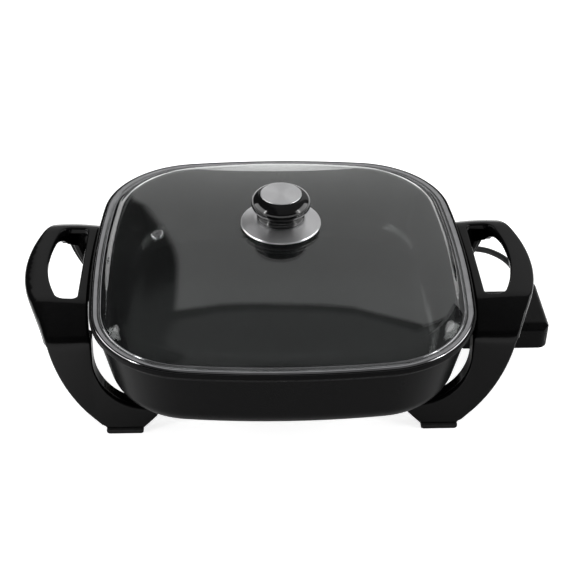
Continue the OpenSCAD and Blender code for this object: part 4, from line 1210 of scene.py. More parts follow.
@dataclass(frozen=True)
class Plan:
    """The skillet's outline from above: bowed sides and round corners."""

    half_w: float = 152.5
    half_d: float = 153.0
    side_r: float = 852.0
    front_r: float = 712.0
    corner_r: float = 79.0

    def corner(self) -> tuple[Point2, float, float]:
        """Finds the corner arc that touches the side bow and the front bow.

        Returns:
            Its centre, and the angles where it starts and ends, in radians.
        """
        side = Vector((self.half_w - self.side_r, 0))
        front = Vector((0, self.half_d - self.front_r))
        line = front - side
        dist = line.length
        r1, r2 = self.side_r - self.corner_r, self.front_r - self.corner_r
        along = (r1 * r1 - r2 * r2 + dist * dist) / (2 * dist)
        across = math.sqrt(r1 * r1 - along * along)
        c = side + line / dist * along + Vector((-line.y, line.x)) / dist * across
        a0 = math.atan2(c.y - side.y, c.x - side.x)
        a1 = math.atan2(c.y - front.y, c.x - front.x)
        return (c.x, c.y), a0, a1

    def outline(
        self, inset: float, side: int = 9, corner: int = 20, front: int = 9
    ) -> list[Point2]:
        """Gives the whole outline.

        Args:
            inset: How far inside the lid's edge it runs.
            side: Steps along half a side.
            corner: Steps round a corner.
            front: Steps along half the front.

        Returns:
            A closed ring of points, anticlockwise from the right.
        """
        middle, a0, a1 = self.corner()
        side_middle = (self.half_w - self.side_r, 0.0)
        front_middle = (0.0, self.half_d - self.front_r)
        quarter = arc_points(side_middle, self.side_r - inset, 0, a0, side)
        quarter += arc_points(middle, self.corner_r - inset, a0, a1, corner)[1:]
        quarter += arc_points(front_middle, self.front_r - inset, a1, math.pi / 2, front)[1:]
        half = quarter[:-1] + [(-x, y) for x, y in reversed(quarter)]
        return half[:-1] + [(x, -y) for x, y in reversed(half)][:-1]

    def ring(self, inset: float, z: float) -> list[Point3]:
        """Gives the outline at one height."""
        return [(x, y, z) for x, y in self.outline(inset)]

    def side_x(self, y: float, out: float) -> float:
        """Gives how far the side stands out.

        Args:
            y: The place along the side.
            out: How far the outline is grown.

        Returns:
            The side's x.
        """
        (cx, cy), a0, _ = self.corner()
        r = self.side_r + out
        x = self.half_w - self.side_r + math.sqrt(r * r - y * y)
        r = self.corner_r + out
        if abs(y) > cy + r * math.sin(a0):
            x = cx + math.sqrt(max(r * r - (abs(y) - cy) ** 2, 0.0))
        return x


PLAN = Plan()


@dataclass(frozen=True)
class Pan:
    """The cast pan: its wall, rim, floor, lugs, probe boss and guard pads."""

    floor_z: float = 42.0
    rim_z: float = 107.4
    lip_z: float = 111.2
    wall: float = 3.5
    floor_t: float = 4.0
    taper: float = 11.8
    wall_inset: float = 2.4
    flange_z: float = 102.6
    flange_top: float = 106.8
    lip_out: float = 2.0
    lip_in: float = 0.8
    base_r: float = 25.0
    lug: tuple[Point3, Point3] = ((144.3, -26.0, 85.0), (152.0, 26.0, 102.6))
    lug_lean: float = 3.7
    boss: tuple[Point3, Point3] = ((55.0, -7.5, 32.0), (122.0, 7.5, 44.0))
    bore_r: float = 3.3
    bore_z: float = 38.0
    bore_depth: float = 50.0
    pad: tuple[Point3, Point3] = ((106.0, 23.7, 38.0), (118.0, 36.7, 44.0))

    def profile(self) -> list[Point2]:
        """Gives the wall's section.

        Returns:
            Pairs of inset and height, from under the floor over the rim and back in.
        """
        lean = math.tan(math.radians(self.taper))
        slope = math.cos(math.radians(self.taper))

        def wall_d(z: float) -> float:
            """Gives the inset of the wall's outside."""
            return self.wall_inset + (self.flange_z - z) * lean

        def fillet(d: float, z: float, r: float, t: float) -> Point2:
            """Gives a point on a corner of the section, from 0 at the wall to 1 at the floor."""
            a = math.radians(self.taper + (90 - self.taper) * t)
            return d - r * math.cos(a), z - r * math.sin(a)

        z = self.floor_z + self.base_r
        d = wall_d(z) + self.base_r / slope
        outside = [fillet(d, z, self.base_r, 1 - i / 12) for i in range(13)]
        inner_r = self.base_r - self.wall
        z = self.floor_z + self.floor_t + inner_r
        d = wall_d(z) + self.wall / slope + inner_r / slope
        inside = [fillet(d, z, inner_r, i / 14) for i in range(15)]
        corners = [
            outside[-1], (self.wall_inset, self.flange_z), (-self.lip_out, self.flange_top),
            (-self.lip_out, self.lip_z), (-self.lip_in, self.lip_z), (-self.lip_in, self.rim_z),
            (wall_d(self.rim_z) + self.wall / slope, self.rim_z), inside[0],
        ]
        rim = soften_profile(corners, [0, 1.6, 1.0, 0.55, 0.4, 0.3, 0.9, 0])
        return outside[:-1] + rim + inside[1:]

    def build(self) -> bpy.types.Object:
        """Makes the pan.

        Returns:
            The pan, in place of its CAD node.
        """
        parts = [loft("pan_shell", [PLAN.ring(d, z) for d, z in self.profile()])]
        (x0, y0, z0), (x1, y1, z1) = self.lug
        for low, high in ((x0, x1), (-x1, -x0)):
            parts.append(rounded_block("lug", (low, y0, z0), (high, y1, z1), 0.8, self.lug_lean))
        parts.append(self.probe_boss())
        (x0, y0, z0), (x1, y1, z1) = self.pad
        for low, high in ((y0, y1), (-y1, -y0)):
            parts.append(rounded_block("pad", (x0, low, z0), (x1, high, z1), 0.6))
        pan = merge_pieces("cast_pan", parts)
        carry(pan, "skillet", "coated_cast", ("pan",), Finish.COATING, Finish.COATING_OUTSIDE)
        self.part_finishes(pan)
        return pan

    def probe_boss(self) -> bpy.types.Object:
        """Makes the boss under the floor, with the bore that takes the probe.

        Returns:
            The boss.
        """
        (x0, _, z0), (x1, half_w, z1) = self.boss
        middle, half_h = (z0 + z1) / 2, (z1 - z0) / 2
        count = 48
        block, bore = [], []
        for i in range(count):
            a = 2 * math.pi * (i + 0.5) / count
            c, s = math.cos(a), math.sin(a)
            k = 1 / max(abs(c) / half_w, abs(s) / half_h)
            block.append((c * k, middle + s * k))
            bore.append((self.bore_r * c, self.bore_z + self.bore_r * s))

        def ring(x: float, section: Sequence[Point2], size: float = 1.0) -> list[Point3]:
            """Puts a section at x, scaled about the bore's axis."""
            return [(x, y * size, self.bore_z + (z - self.bore_z) * size) for y, z in section]

        rings = [
            ring(x0, block), ring(x1 - 0.6, block), ring(x1, block, 0.93), ring(x1, bore, 1.12),
            ring(x1 - 0.4, bore), ring(x1 - self.bore_depth, bore),
        ]
        return loft("boss", rings)

    def part_finishes(self, pan: bpy.types.Object) -> None:
        """Gives the outside the darker, duller copy of the coating, which is painted shade, and the
        inside the cooking surface.

        Args:
            pan: The pan, with the coating inside and outside in its two slots.
        """
        for face in pan.data.polygons:
            where = face.center / MM
            x, y = where.x - PAN_X, where.y
            outward = face.normal.x * x + face.normal.y * y
            underside = face.normal.z < -0.3 and where.z < self.floor_z + self.base_r
            outside = outward > 0.15 * math.hypot(x, y) or underside
            face.material_index = 1 if outside else 0


@dataclass(frozen=True)
class Lid:
    """The domed glass lid with its steel band and steam vent."""

    lid_z: float = 112.0
    rim_z: float = 107.4
    band_w: float = 7.4
    band_t: float = 0.5
    seat: float = 6.4
    shoulder: float = 0.06
    glass_t: float = 3.6
    glass_drop: float = 0.5
    glass_inset: float = 0.8
    dome: float = 27.0
    edge_rise: float = 4.0
    hole: float = 3.8
    vent: Point2 = (-101.0, 6.0)

    def height(self, s: float) -> float:
        """Gives the height of the glass's top.

        Args:
            s: The share of the way from the middle to the band.

        Returns:
            The height above the table.
        """
        t = min(max((1 - s) / self.shoulder, 0.0), 1.0)
        shoulder = self.edge_rise * t * t * (3 - 2 * t)
        return self.lid_z - self.glass_drop + shoulder + self.dome * (1 - s * s)

    def ring(self, s: float, z: float) -> list[Point3]:
        """Gives one ring of the glass, rounder towards the middle.

        Args:
            s: The share of the way from the middle to the band.
            z: The height above the table.

        Returns:
            The ring's points.
        """
        mean = PLAN.half_w - self.band_w
        out = []
        for x, y in PLAN.outline(self.band_w):
            r = math.hypot(x, y)
            k = s * s + (1 - s * s) * mean / r
            out.append((x * s * k, y * s * k, z))
        return out

    def glass(self) -> bpy.types.Object:
        """Makes the glass.

        Returns:
            The glass, with its hole for the knob's screw.
        """
        inner = 1 - self.shoulder
        steps = [1 - self.shoulder * i / 10 for i in range(11)]
        steps += [inner - (inner - 0.06) * i / 26 for i in range(1, 27)]
        steps.append(self.hole / (PLAN.half_w - self.band_w))
        top = [self.ring(s, self.height(s)) for s in steps]
        under = [self.ring(s, self.height(s) - self.glass_t) for s in reversed(steps)]
        edge_z = self.lid_z - self.glass_drop
        rim = [PLAN.ring(self.glass_inset, z) for z in (edge_z - self.glass_t, edge_z)]
        glass = loft("lid_dome", under + rim + top, tube=True)
        return carry(glass, "lid", "lid_glass", ("lid_glass",), Finish.GLASS)

    def band(self) -> bpy.types.Object:
        """Makes the rolled steel band round the glass.

        Returns:
            The band.
        """
        t, w, seat = self.band_t, self.band_w, self.seat
        top, low = self.lid_z, self.rim_z
        corners = [
            (seat, low + t), (seat, low), (0.0, low), (0.0, top - 0.75), (1.5, top),
            (2.9, top - 0.25), (w - 2.0, top - 0.75), (w - 1.4, top - 0.85), (w - 0.9, top - 0.15),
            (w, top - 0.35), (w, top - 1.2), (w - 0.4, top - 1.4), (t, top - 1.4), (t, low + t),
        ]
        radii = [0.2, 0.2, 1.0, 0.75, 0.7, 0.6, 0.25, 0.25, 0.35, 0.3, 0.2, 0.1, 0.1, 0.1]
        profile = []
        for i, (p, r) in enumerate(zip(corners, radii)):
            profile += round_corner(corners[i - 1], p, corners[(i + 1) % len(corners)], r)
        band = loft("lid_rim_band", [PLAN.ring(d, z) for d, z in profile], tube=True)
        return carry(band, "lid", "polished_steel", ("lid_band",), Finish.BAND)

    def build(self) -> None:
        """Makes the glass and the band, and finishes the vent."""
        self.glass()
        self.band()
        dress_node("steam_vent", Finish.STEEL, 0.12)


@dataclass(frozen=True)
class Knob:
    """The knob: a dished steel skirt, a black grip and a steel cap."""

    skirt_z: float = 145.55
    foot_z: float = 149.55
    skirt_r: float = 32.6
    collar_r: float = 19.5
    grip_r: float = 24.0
    cap_r: float = 16.5
    height: float = 21.9
    bulge_r: float = 9.5
    collar_h: float = 4.0
    recess: float = 1.6
    skirt_bore: float = 2.7
    screw_bore: float = 4.1
    steps: int = 160

    def skirt(self) -> bpy.types.Object:
        """Makes the dished disc under the grip.

        Returns:
            The disc.
        """
        r, c, bore = self.skirt_r, self.collar_r, self.skirt_bore
        corners = [
            (bore, 3.0), (c + 1, 3.0), (r - 1.6, -1.0), (r - 1.0, -2.0), (r - 0.1, -2.0),
            (r, -1.6), (r - 0.1, -0.7), (r - 0.5, -0.2), (r - 1.1, 0.0), (r - 3, 0.8),
            (c + 3, 3.4), (c + 1, 4.0), (bore, 4.0),
        ]
        radii = [0, 1.5, 0.4, 0.3, 0.2, 0.2, 0.4, 0.3, 0.5, 1.6, 1.6, 1.2, 0]
        skirt = lathe("knob_disc", soften_profile(corners, radii), self.skirt_z, self.steps)
        return carry(skirt, "lid", "brushed_steel", ("knob_skirt",), Finish.TURNED)

    def grip(self) -> bpy.types.Object:
        """Makes the black grip with its collar, waist and bulge.

        Returns:
            The grip.
        """
        c, collar, bore = self.collar_r, self.collar_h, self.screw_bore
        low = soften_profile(
            [(bore, 0.0), (c, 0.0), (c, collar - 0.8), (c - 1, 3.6), (c - 1.1, 4.6)],
            [0, 0.8, 1.0, 0.3, 0],
        )
        floor = self.height - self.recess
        x = self.grip_r - self.bulge_r
        z = (collar + self.height) / 2 + 0.4
        bulge_h = floor + 1 - z
        bulge = [
            (x + self.bulge_r * math.cos(a), z + bulge_h * math.sin(a))
            for a in (math.radians(-38 + 112 * i / 34) for i in range(35))
        ]
        edge = self.cap_r + 0.2
        top = [(edge, self.height - 0.5), (edge, self.height - 1.5), (bore, floor)]
        grip = lathe("knob_grip", low + bulge + top, self.foot_z, self.steps)
        return carry(grip, "lid", "gloss_black", ("knob_body",), Finish.KNOB)

    def cap(self) -> bpy.types.Object:
        """Makes the steel cap let into the grip's top.

        Returns:
            The cap.
        """
        r, t = self.cap_r, self.recess
        corners = [(0.0, 0.0), (r, 0.0), (r, t), (r - 1.2, t - 0.15), (0.0, t - 0.15)]
        profile = soften_profile(corners, [0, 0.2, 0.5, 0.5, 0])
        cap = lathe("knob_top_cap", profile, self.foot_z + self.height - self.recess)
        return carry(cap, "lid", "brushed_steel", ("knob_cap",), Finish.TURNED)

    def build(self) -> None:
        """Makes the knob and finishes its fixings."""
        self.skirt()
        self.grip()
        self.cap()
        dress_node("upper_washer", Finish.WASHER, 0.2)
        dress_node("lower_washer", Finish.WASHER, 0.2)
        dress_node("steel_washer", Finish.STEEL, 0.1)
        dress_node("knob_screw", Finish.STEEL, 0.15)
        dress_node("knob_insert", Finish.BRASS, 0.1)


# ---------------------------------------------------------------- handles


class Depth(Enum):
    """How far below the handle's outer face its levels lie, in millimetres."""

    FACE = 0.0
    SKIN = 5.5
    RIB = 15.0


@dataclass(frozen=True)
class Handle:
    """An arched handle: a crowned skin over ribs, with a hand hole and two legs.

    It is drawn unrolled, as x across and w along the arch from the middle of the
    bar, and then laid round the bends and down the splayed legs.
    """

    side: int
    name: str
    top: float = 107.0
    plan_c: float = 65.0
    plan_r: float = 145.0
    bend_r: float = 34.0
    bend_y: float = 47.5
    bend_z: float = 73.0
    splay: float = 9.4
    foot_z: float = 4.0
    inner_x: float = 151.5
    inner_c: Point2 = (108.5, 66.0)
    inner_r: float = 43.0
    outer_c: Point2 = (54.2, 103.3)
    outer_r: float = 134.0
    outer_z: float = 80.0
    rim_z: float = 84.0
    rim_gap: float = 3.6
    round_r: float = 2.0
    hole_y: Point2 = (-49.0, 51.5)
    hole_x: float = 163.5
    hole_bow: float = 7.0
    hole_corner: float = 9.0
    bar_w: float = 18.0
    crown_r: float = 200.0
    crown_x: float = 181.25
    lip: float = 0.4
    skirt_inset: float = 5.8
    rib_w: float = 4.0
    outer_rib: float = 10.0
    hollow_z: float = 16.0
    steps_bar: int = 26
    steps_bend: int = 26
    steps_leg: int = 34
    face_spacing: float = 3.2
    back_spacing: float = 5.0

    # The foot in x and z: the toe's tip, where the slope under it aims, the ball and the heel.
    tip: tuple[Point2, ...] = (
        (105.5, 23.0), (102.8, 23.0), (101.4, 22.4), (101.0, 21.0), (101.0, 18.5),
        (101.3, 16.8), (102.5, 14.5),
    )
    slope_aim: Point2 = (111.6, 5.6)
    ball: tuple[Point2, ...] = ((111.9, 5.3), (112.7, 4.5), (113.8, 4.08), (115.0, 4.0))
    heel: tuple[Point2, ...] = ((142.6, 4.0), (143.6, 4.15), (144.1, 4.7), (144.7, 5.6))
    heel_z: float = 7.0

    # The blocks that fill the back of the handle over the pan's lug.
    tongue: tuple[Point3, Point3] = ((152.1, -26.0, 85.05), (163.3, 26.0, 93.0))
    backing: tuple[Point3, Point3] = ((152.1, -26.0, 85.05), (158.0, 26.0, 101.4))

    # -- the arch

    def bend_end(self) -> float:
        """Gives the angle of the whole bend in radians."""
        return math.radians(90 - self.splay)

    def bend_length(self) -> float:
        """Gives the length of the bend on the outer face."""
        return self.bend_r * self.bend_end()

    def leg_length(self) -> float:
        """Gives the length of the leg on the outer face."""
        return (self.leg_start(0)[1] - self.foot_z) / math.cos(math.radians(self.splay))

    def leg_start(self, depth: float) -> Point2:
        """Gives y and z where the bend meets the leg, at a depth."""
        r, a = self.bend_r - depth, self.bend_end()
        return self.bend_y + r * math.sin(a), self.bend_z + r * math.cos(a)

    def station(self, u: float, depth: float) -> Point2:
        """Gives y and z along the arch.

        Args:
            u: 0 to 1 along the bar, to 2 round the bend, to 3 down the leg.
            depth: The depth below the outer face.

        Returns:
            The place, on the half with y above nought.
        """
        if u <= 1:
            return self.bend_y * u, self.top - depth
        if u <= 2:
            a = self.bend_end() * (u - 1)
            r = self.bend_r - depth
            return self.bend_y + r * math.sin(a), self.bend_z + r * math.cos(a)
        y, z = self.leg_start(depth)
        drop = (z - self.foot_z) * (u - 2)
        return y + drop * math.tan(math.radians(self.splay)), z - drop

    def leg_u(self, z: float, depth: float) -> float:
        """Gives the station of a height on the leg."""
        start = self.leg_start(depth)[1]
        return 2 + (start - z) / (start - self.foot_z)

    def spread_u(self, y: float, depth: float) -> float:
        """Gives the station of a place on the bar or the start of the bend.

        Args:
            y: The place, nought or more.
            depth: The depth below the outer face.

        Returns:
            Its station.
        """
        if y <= self.bend_y:
            return y / self.bend_y
        return 1 + math.asin((y - self.bend_y) / (self.bend_r - depth)) / self.bend_end()

    def width(self, u: float) -> float:
        """Gives the unrolled length at a station, on the outer face.

        Args:
            u: The station along the arch.

        Returns:
            The length from the middle of the bar.
        """
        if u <= 1:
            return self.bend_y * u
        if u <= 2:
            return self.bend_y + self.bend_length() * (u - 1)
        return self.bend_y + self.bend_length() + self.leg_length() * (u - 2)

    def sag(self, x: float) -> float:
        """Gives how far the crowned face has dropped at x."""
        across = max(x, PLAN.half_w) - self.crown_x
        return self.crown_r - math.sqrt(self.crown_r**2 - across**2)

    # -- its two edges

    def outer_x(self, u: float, depth: float) -> float:
        """Gives the x of the edge away from the pan.

        Args:
            u: The station along the arch.
            depth: The depth below the outer face.

        Returns:
            The edge's x.
        """
        y, z = self.station(u, depth)
        x = self.plan_c + math.sqrt(self.plan_r**2 - y * y)
        if z < self.outer_z:
            cx, cz = self.outer_c
            x = min(x, cx + math.sqrt(self.outer_r**2 - (cz - z) ** 2))
        return x

    def inner_x_at(self, u: float, depth: float) -> float:
        """Gives the x of the edge next to the pan.

        Args:
            u: The station along the arch.
            depth: The depth below the outer face.

        Returns:
            The edge's x.
        """
        y, z = self.station(u, depth)
        if z > self.rim_z:
            return max(self.inner_x, PLAN.side_x(y, self.rim_gap))
        if z > self.inner_c[1]:
            return self.inner_x
        cx, cz = self.inner_c
        return cx + math.sqrt(max(self.inner_r**2 - (cz - z) ** 2, 0.0))

    # -- loops, as lists of (u, x), with u below nought on the front half

    def half_loop(self, depth: float) -> list[Point2]:
        """Gives half the outline: out along the inner edge, round the foot and back.

        Args:
            depth: The depth below the outer face.

        Returns:
            Points from the middle of the bar to the middle of the bar.
        """
        start = self.leg_start(depth)[1]
        bar = [i / self.steps_bar for i in range(self.steps_bar + 1)]
        bend = [1 + i / self.steps_bend for i in range(self.steps_bend + 1)]
        inner = [(u, self.inner_x_at(u, depth)) for u in bar[:-1] + bend[:-1]]
        top, low = (self.inner_x, start), (self.inner_x, self.inner_c[1])
        straight = [top, *line_points(top, low, 6)]
        arc = arc_points(self.inner_c, self.inner_r, 0, -math.pi / 2, 22)
        foot = [
            *self.tip, *line_points(self.tip[-1], self.slope_aim, 6),
            *self.ball, *line_points(self.ball[-1], self.heel[0], 12), *self.heel,
        ]
        down = [(self.leg_u(z, depth), x) for x, z in (*straight, *arc, *foot)]
        heights = [
            self.heel_z + (start - self.heel_z) * i / self.steps_leg
            for i in range(self.steps_leg + 1)
        ]
        back = [self.leg_u(z, depth) for z in heights]
        back += bend[-2::-1] + bar[-2::-1]
        return inner + down + [(u, self.outer_x(u, depth)) for u in back]

    def loop(self, depth: float) -> list[Point2]:
        """Gives the whole outline as a closed loop.

        Args:
            depth: The depth below the outer face.

        Returns:
            The loop's points.
        """
        half = self.half_loop(depth)
        mirrored = [(-u, x) for u, x in reversed(half)]
        return half + mirrored[1:-1]

    def hole(self, depth: float) -> list[Point2]:
        """Gives the hand hole as a closed loop.

        Args:
            depth: The depth below the outer face.

        Returns:
            The loop's points, from the front end of its bow.
        """
        r = self.plan_r - self.bar_w
        corner = self.hole_corner
        small = corner / 2
        low, high = self.hole_y

        def centre(y: float) -> Point2:
            """Gives a corner's centre on the outer side."""
            reach = math.sqrt((r - corner) ** 2 - (y - self.hole_bow) ** 2)
            return self.plan_c + reach, y

        def turn(c: Point2) -> float:
            """Gives the angle at which the bow meets a corner."""
            return math.atan2(c[1] - self.hole_bow, c[0] - self.plan_c)

        back, front = centre(high - corner), centre(low + corner)
        top_small, low_small = ((self.hole_x + small, y) for y in (high - small, low + small))
        q = math.pi / 2
        points = arc_points((self.plan_c, self.hole_bow), r, turn(front), turn(back), 34)
        points += arc_points(back, corner, turn(back), q, 9)[1:]
        points += arc_points(top_small, small, q, 2 * q, 7)
        points += line_points((self.hole_x, high - small), (self.hole_x, low + small), 30)
        points += arc_points(low_small, small, 2 * q, 3 * q, 7)
        points += arc_points(front, corner, 3 * q, 4 * q + turn(front), 9)[:-1]
        return [(math.copysign(self.spread_u(abs(y), depth), y), x) for x, y in points]

    def hollow(self, depth: float) -> list[Point2]:
        """Gives the edge of the hollow between the ribs as a closed loop.

        It runs beside the hand hole, swings over to the rib next to the pan, goes down
        the leg and comes back along the outer rib.

        Args:
            depth: The depth below the outer face.

        Returns:
            The loop's points.
        """
        past, swing = 0.98, 0.35
        beside_hole = self.hole_x - 0.7
        start = self.leg_start(depth)[1]

        def inner_at(u: float) -> Point2:
            """Gives a point along the rib next to the pan."""
            return u, self.inner_x_at(u, depth) + self.rib_w

        def outer_at(u: float) -> Point2:
            """Gives a point along the rib away from the pan."""
            return u, self.outer_x(u, depth) - self.outer_rib

        half = [(0.97 * i / 20, beside_hole) for i in range(20)]
        for i in range(19):
            u = past + (2 - past) * i / 18
            t = min(max((u - past) / swing, 0.0), 1.0)
            half.append((u, beside_hole * (1 - t) + inner_at(u)[1] * t))
        down, up = self.hollow_z + 9, self.hollow_z + 3
        half += [inner_at(self.leg_u(start + (down - start) * i / 17, depth)) for i in range(1, 18)]
        low_u = self.leg_u(self.hollow_z, depth)
        a, b = inner_at(low_u)[1] + 4, outer_at(low_u)[1] - 2
        half += [(low_u, a + (b - a) * i / 8) for i in range(9)]
        half += [outer_at(self.leg_u(up + (start - up) * i / 25, depth)) for i in range(26)]
        half += [outer_at(2 - 2 * i / 20) for i in range(1, 21)]
        mirrored = [(-u, x) for u, x in reversed(half)]
        return half + mirrored[1:-1]

    def steps_back(self, w: float, x: float) -> float:
        """Tells where the ribs stand back from the edge.

        Args:
            w: The length along the arch.
            x: The place across.

        Returns:
            1 on the outer side, and 0 elsewhere.
        """
        u = abs(self.unwidth(w))
        outer = x > self.outer_x(u, 0) - 3 and self.station(u, 0)[1] > self.foot_z + 5
        return 1.0 if outer else 0.0

    # -- from the unrolled drawing to the real form

    def flat(self, loop: Sequence[Point2]) -> list[Point2]:
        """Gives a loop in the unrolled drawing's own millimetres, as (w, x)."""
        return [(math.copysign(self.width(abs(u)), u), x) for u, x in loop]

    def unwidth(self, w: float) -> float:
        """Gives the station of an unrolled length.

        Args:
            w: The length, below nought on the front half.

        Returns:
            Its station, below nought on the front half.
        """
        bend, leg = self.bend_length(), self.leg_length()
        a = abs(w)
        if a <= self.bend_y:
            u = a / self.bend_y
        elif a <= self.bend_y + bend:
            u = 1 + (a - self.bend_y) / bend
        else:
            u = 2 + (a - self.bend_y - bend) / leg
        return math.copysign(u, w)

    def solid(self, w: float, x: float, depth: float, crowned: bool) -> Point3:
        """Lays a point of the unrolled drawing on the handle.

        Args:
            w: Its length along the arch.
            x: Its place across.
            depth: Its depth below the outer face.
            crowned: Whether the depth is measured from the crowned face.

        Returns:
            The point from the pan's middle.
        """
        u = self.unwidth(w)
        deep = depth + self.sag(x) if crowned else max(depth, 0.0)
        y, z = self.station(abs(u), deep)
        return self.side * x, math.copysign(y, u), z

    @staticmethod
    def offset(loop: Sequence[Point2], by: Sequence[float]) -> list[Point2]:
        """Moves a closed loop inwards.

        Args:
            loop: The loop, as (w, x).
            by: How far each of its points moves.

        Returns:
            The moved loop.
        """
        n = len(loop)
        area = sum(
            loop[i][0] * loop[(i + 1) % n][1] - loop[(i + 1) % n][0] * loop[i][1]
            for i in range(n)
        )
        turn = 1.0 if area > 0 else -1.0
        out = []
        for i in range(n):
            a, b, c = loop[i - 1], loop[i], loop[(i + 1) % n]
            normals = []
            for p, q in ((a, b), (b, c)):
                dx, dy = q[0] - p[0], q[1] - p[1]
                size = math.hypot(dx, dy) or 1e-9
                normals.append((-dy / size * turn, dx / size * turn))
            nx, ny = normals[0][0] + normals[1][0], normals[0][1] + normals[1][1]
            size = math.hypot(nx, ny) or 1e-9
            nx, ny = nx / size, ny / size
            cosine = max(nx * normals[0][0] + ny * normals[0][1], 0.6)
            out.append((b[0] + nx * by[i] / cosine, b[1] + ny * by[i] / cosine))
        return out

    @staticmethod
    def inside(point: Point2, loop: Sequence[Point2]) -> bool:
        """Tells whether a point lies in a closed loop.

        Args:
            point: The point.
            loop: The loop.

        Returns:
            Whether it lies inside.
        """
        x, y = point
        found = False
        for i in range(len(loop)):
            (x0, y0), (x1, y1) = loop[i - 1], loop[i]
            if (y0 > y) != (y1 > y) and x < (x1 - x0) * (y - y0) / (y1 - y0) + x0:
                found = not found
        return found

    def fill(
        self, loops: Sequence[Sequence[Point2]], spacing: float
    ) -> tuple[list[Point2], list[list[int]]]:
        """Fills the space between an outer loop and the holes in it with triangles.

        Args:
            loops: The outer loop, then any holes.
            spacing: The distance between the points put inside.

        Returns:
            The points and the triangles.
        """
        border = [p for loop in loops for p in loop]
        edges = []
        for loop in loops:
            start = len(edges)
            edges += [(start + i, start + (i + 1) % len(loop)) for i in range(len(loop))]

        def cell(p: Point2) -> tuple[int, int]:
            """Gives the square of the grid that holds a point."""
            return int(p[0] // spacing), int(p[1] // spacing)

        def between_loops(p: Point2) -> bool:
            """Tells whether a point lies in the outer loop and in none of the holes."""
            return self.inside(p, loops[0]) and not any(self.inside(p, k) for k in loops[1:])

        grid: dict[tuple[int, int], list[Point2]] = {}
        for p in border:
            grid.setdefault(cell(p), []).append(p)

        def crowded(p: Point2) -> bool:
            """Tells whether a point lies too near the border.

            Args:
                p: The point.

            Returns:
                Whether it is left out.
            """
            i, j = cell(p)
            near = (q for a in (-1, 0, 1) for b in (-1, 0, 1) for q in grid.get((i + a, j + b), ()))
            return any(math.dist(p, q) < spacing * 0.55 for q in near)

        low_w, high_w = min(p[0] for p in loops[0]), max(p[0] for p in loops[0])
        low_x, high_x = min(p[1] for p in loops[0]), max(p[1] for p in loops[0])
        rows = int((high_w - low_w) / spacing) + 1
        columns = int((high_x - low_x) / spacing) + 1
        points = list(border)
        for i in range(rows + 1):
            for j in range(columns + 1):
                p = (low_w + i * spacing, low_x + (j + 0.5 * (i % 2)) * spacing)
                if not crowded(p) and between_loops(p):
                    points.append(p)
        cut = delaunay_2d_cdt([Vector(p) for p in points], edges, [], 0, 1e-5)
        flat = [(v.x, v.y) for v in cut[0]]
        kept = []
        for face in cut[2]:
            corners = [flat[i] for i in face]
            middle = tuple(sum(axis) / len(corners) for axis in zip(*corners))
            if between_loops(middle):
                kept.append(list(face))
        return flat, kept

    def build(self) -> bpy.types.Object:
        """Makes the handle.

        Returns:
            The handle, in place of its CAD node.
        """
        points: list[Point3] = []
        faces: list[list[int]] = []

        def add_rows(rows: Sequence[Sequence[Point3]]) -> None:
            """Adds the faces between neighbouring closed rows.

            Args:
                rows: The rows, of equal length.
            """
            start = len(points)
            points.extend(p for row in rows for p in row)
            for face in band_faces(len(rows), len(rows[0])):
                faces.append([start + i for i in face])

        def add_fill(
            loops: Sequence[Sequence[Point2]], depth: float, crowned: bool, spacing: float
        ) -> None:
            """Adds a filled area at one depth.

            Args:
                loops: The outer loop, then any holes.
                depth: Their depth.
                crowned: Whether the depth is measured from the crowned face.
                spacing: The distance between the points put inside.
            """
            flat, kept = self.fill(loops, spacing)
            start = len(points)
            points.extend(self.solid(w, x, depth, crowned) for w, x in flat)
            faces.extend([start + i for i in face] for face in kept)

        def lay(loop: Sequence[Point2], depth: float, crowned: bool) -> list[Point3]:
            """Lays a whole loop at one depth."""
            return [self.solid(w, x, depth, crowned) for w, x in loop]

        r, lip = self.round_r, self.lip
        top, skin, rib = Depth.FACE.value, Depth.SKIN.value, Depth.RIB.value
        turns = [math.radians(90 * i / 5) for i in range(6)]
        edge, hole = self.flat(self.loop(r)), self.flat(self.hole(r))
        set_back = [self.steps_back(w, x) for w, x in edge]
        rounding = [
            (self.offset(edge, [r * (1 - math.sin(a))] * len(edge)), r * (1 - math.cos(a)))
            for a in turns
        ]
        hole_rounding = [
            (self.offset(hole, [-r * 0.8 * (1 - math.sin(a))] * len(hole)), r * (1 - math.cos(a)))
            for a in turns
        ]
        add_fill([rounding[0][0], hole_rounding[0][0]], top, True, self.face_spacing)
        skin_loop, rib_loop = self.flat(self.loop(skin)), self.flat(self.loop(rib))
        inset = [self.skirt_inset * s + 0.15 for s in set_back]
        rib_round = self.offset(rib_loop, [d + 0.5 for d in inset])
        rows = [lay(loop, depth, True) for loop, depth in rounding]
        rows += [
            lay(self.flat(self.loop(skin - lip)), skin - lip, False),
            lay(self.offset(skin_loop, [0.1 + 0.3 * s for s in set_back]), skin, False),
            lay(self.offset(skin_loop, inset), skin + 0.02, False),
            lay(self.offset(rib_loop, inset), rib - 0.5, False),
            lay(rib_round, rib, False),
        ]
        add_rows(rows)
        hollow_low, hollow_high = self.flat(self.hollow(rib)), self.flat(self.hollow(skin))
        add_fill([rib_round, hollow_low], rib, False, self.back_spacing)
        add_rows([lay(hollow_low, rib, False), lay(hollow_high, skin, False)])
        hole_low = self.flat(self.hole(skin))
        add_fill([hollow_high, hole_low], skin, False, self.back_spacing)
        rows = [lay(loop, depth, True) for loop, depth in hole_rounding]
        rows.append(lay(hole_low, skin, False))
        add_rows(rows)
        parts = [make_piece(self.name + "_body", points, faces, 40.0, weld=True)]
        for (x0, y0, z0), (x1, y1, z1) in (self.tongue, self.backing):
            low, high = sorted((self.side * x0, self.side * x1))
            parts.append(rounded_block(self.name + "_block", (low, y0, z0), (high, y1, z1), 0.8))
        handle = merge_pieces(self.name, parts)
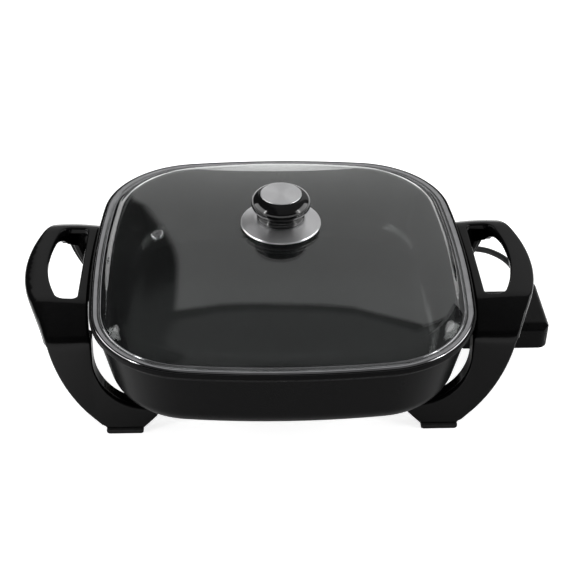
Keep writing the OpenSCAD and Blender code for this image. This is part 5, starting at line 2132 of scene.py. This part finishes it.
        log.info("%s: %d points", self.name, len(handle.data.vertices))
        node = "right_handle" if self.side > 0 else "left_handle"
        return carry(handle, "skillet", "black_moulding", (node,), Finish.HANDLE)


# ------------------------------------------------- controller and the rest


@dataclass(frozen=True)
class KeptNodes:
    """CAD nodes that keep their mesh: each one's finish and the rounding of its edges."""

    nodes: dict[str, tuple[Finish, float]]

    def build(self) -> None:
        """Finishes the nodes."""
        for node, (finish, edge) in self.nodes.items():
            dress_node(node, finish, edge)


@dataclass(frozen=True)
class Controller(KeptNodes):
    """The plug-in heat controller: shells, dial, lens and what is inside."""

    nodes: dict[str, tuple[Finish, float]] = field(
        default_factory=lambda: {
            "controller_top": (Finish.CONTROLLER, 0.6),
            "controller_base": (Finish.CONTROLLER, 0.6),
            "controller_screws": (Finish.STEEL, 0.1),
            "contact_sockets": (Finish.PIN, 0.1),
            "probe": (Finish.STEEL, 0.3),
            "thermostat_block": (Finish.CERAMIC, 0.4),
            "bimetal_strip": (Finish.BRASS, 0.05),
            "indicator_lens": (Finish.LENS, 0.2),
            "indicator_lamp": (Finish.LAMP, 0.2),
            "temperature_dial": (Finish.CONTROLLER, 0.25),
            "dial_shaft": (Finish.PIN, 0.1),
            "strain_relief": (Finish.CORD, 0.3),
        }
    )


@dataclass(frozen=True)
class Underside(KeptNodes):
    """The heating element, its terminals and guard, the handle screws and the feet."""

    nodes: dict[str, tuple[Finish, float]] = field(
        default_factory=lambda: {
            "heating_element": (Finish.SHEATH, 0.0),
            "terminal_pins": (Finish.PIN, 0.0),
            "pin_insulators": (Finish.CERAMIC, 0.2),
            "terminal_guard": (Finish.SHEET, 0.15),
            "guard_screws": (Finish.STEEL, 0.1),
            "handle_screws": (Finish.STEEL, 0.1),
            "foot_pads": (Finish.RUBBER, 0.3),
        }
    )


def main() -> None:
    """Builds the scene piece by piece."""
    logging.basicConfig(level=logging.INFO, format="%(name)s: %(message)s")
    StudioCamera().build()
    log.info("camera placed")
    MainsCord().build()
    log.info("cord laid")
    Studio().build()
    log.info("studio lit")
    Pan().build()
    log.info("pan made")
    Lid().build()
    log.info("lid made")
    Knob().build()
    log.info("knob made")
    for side, name in ((1, "handle_right"), (-1, "handle_left")):
        Handle(side, name).build()
    log.info("handles made")
    Controller().build()
    Underside().build()
    log.info("controller and underside finished")


if __name__ == "__main__":
    main()
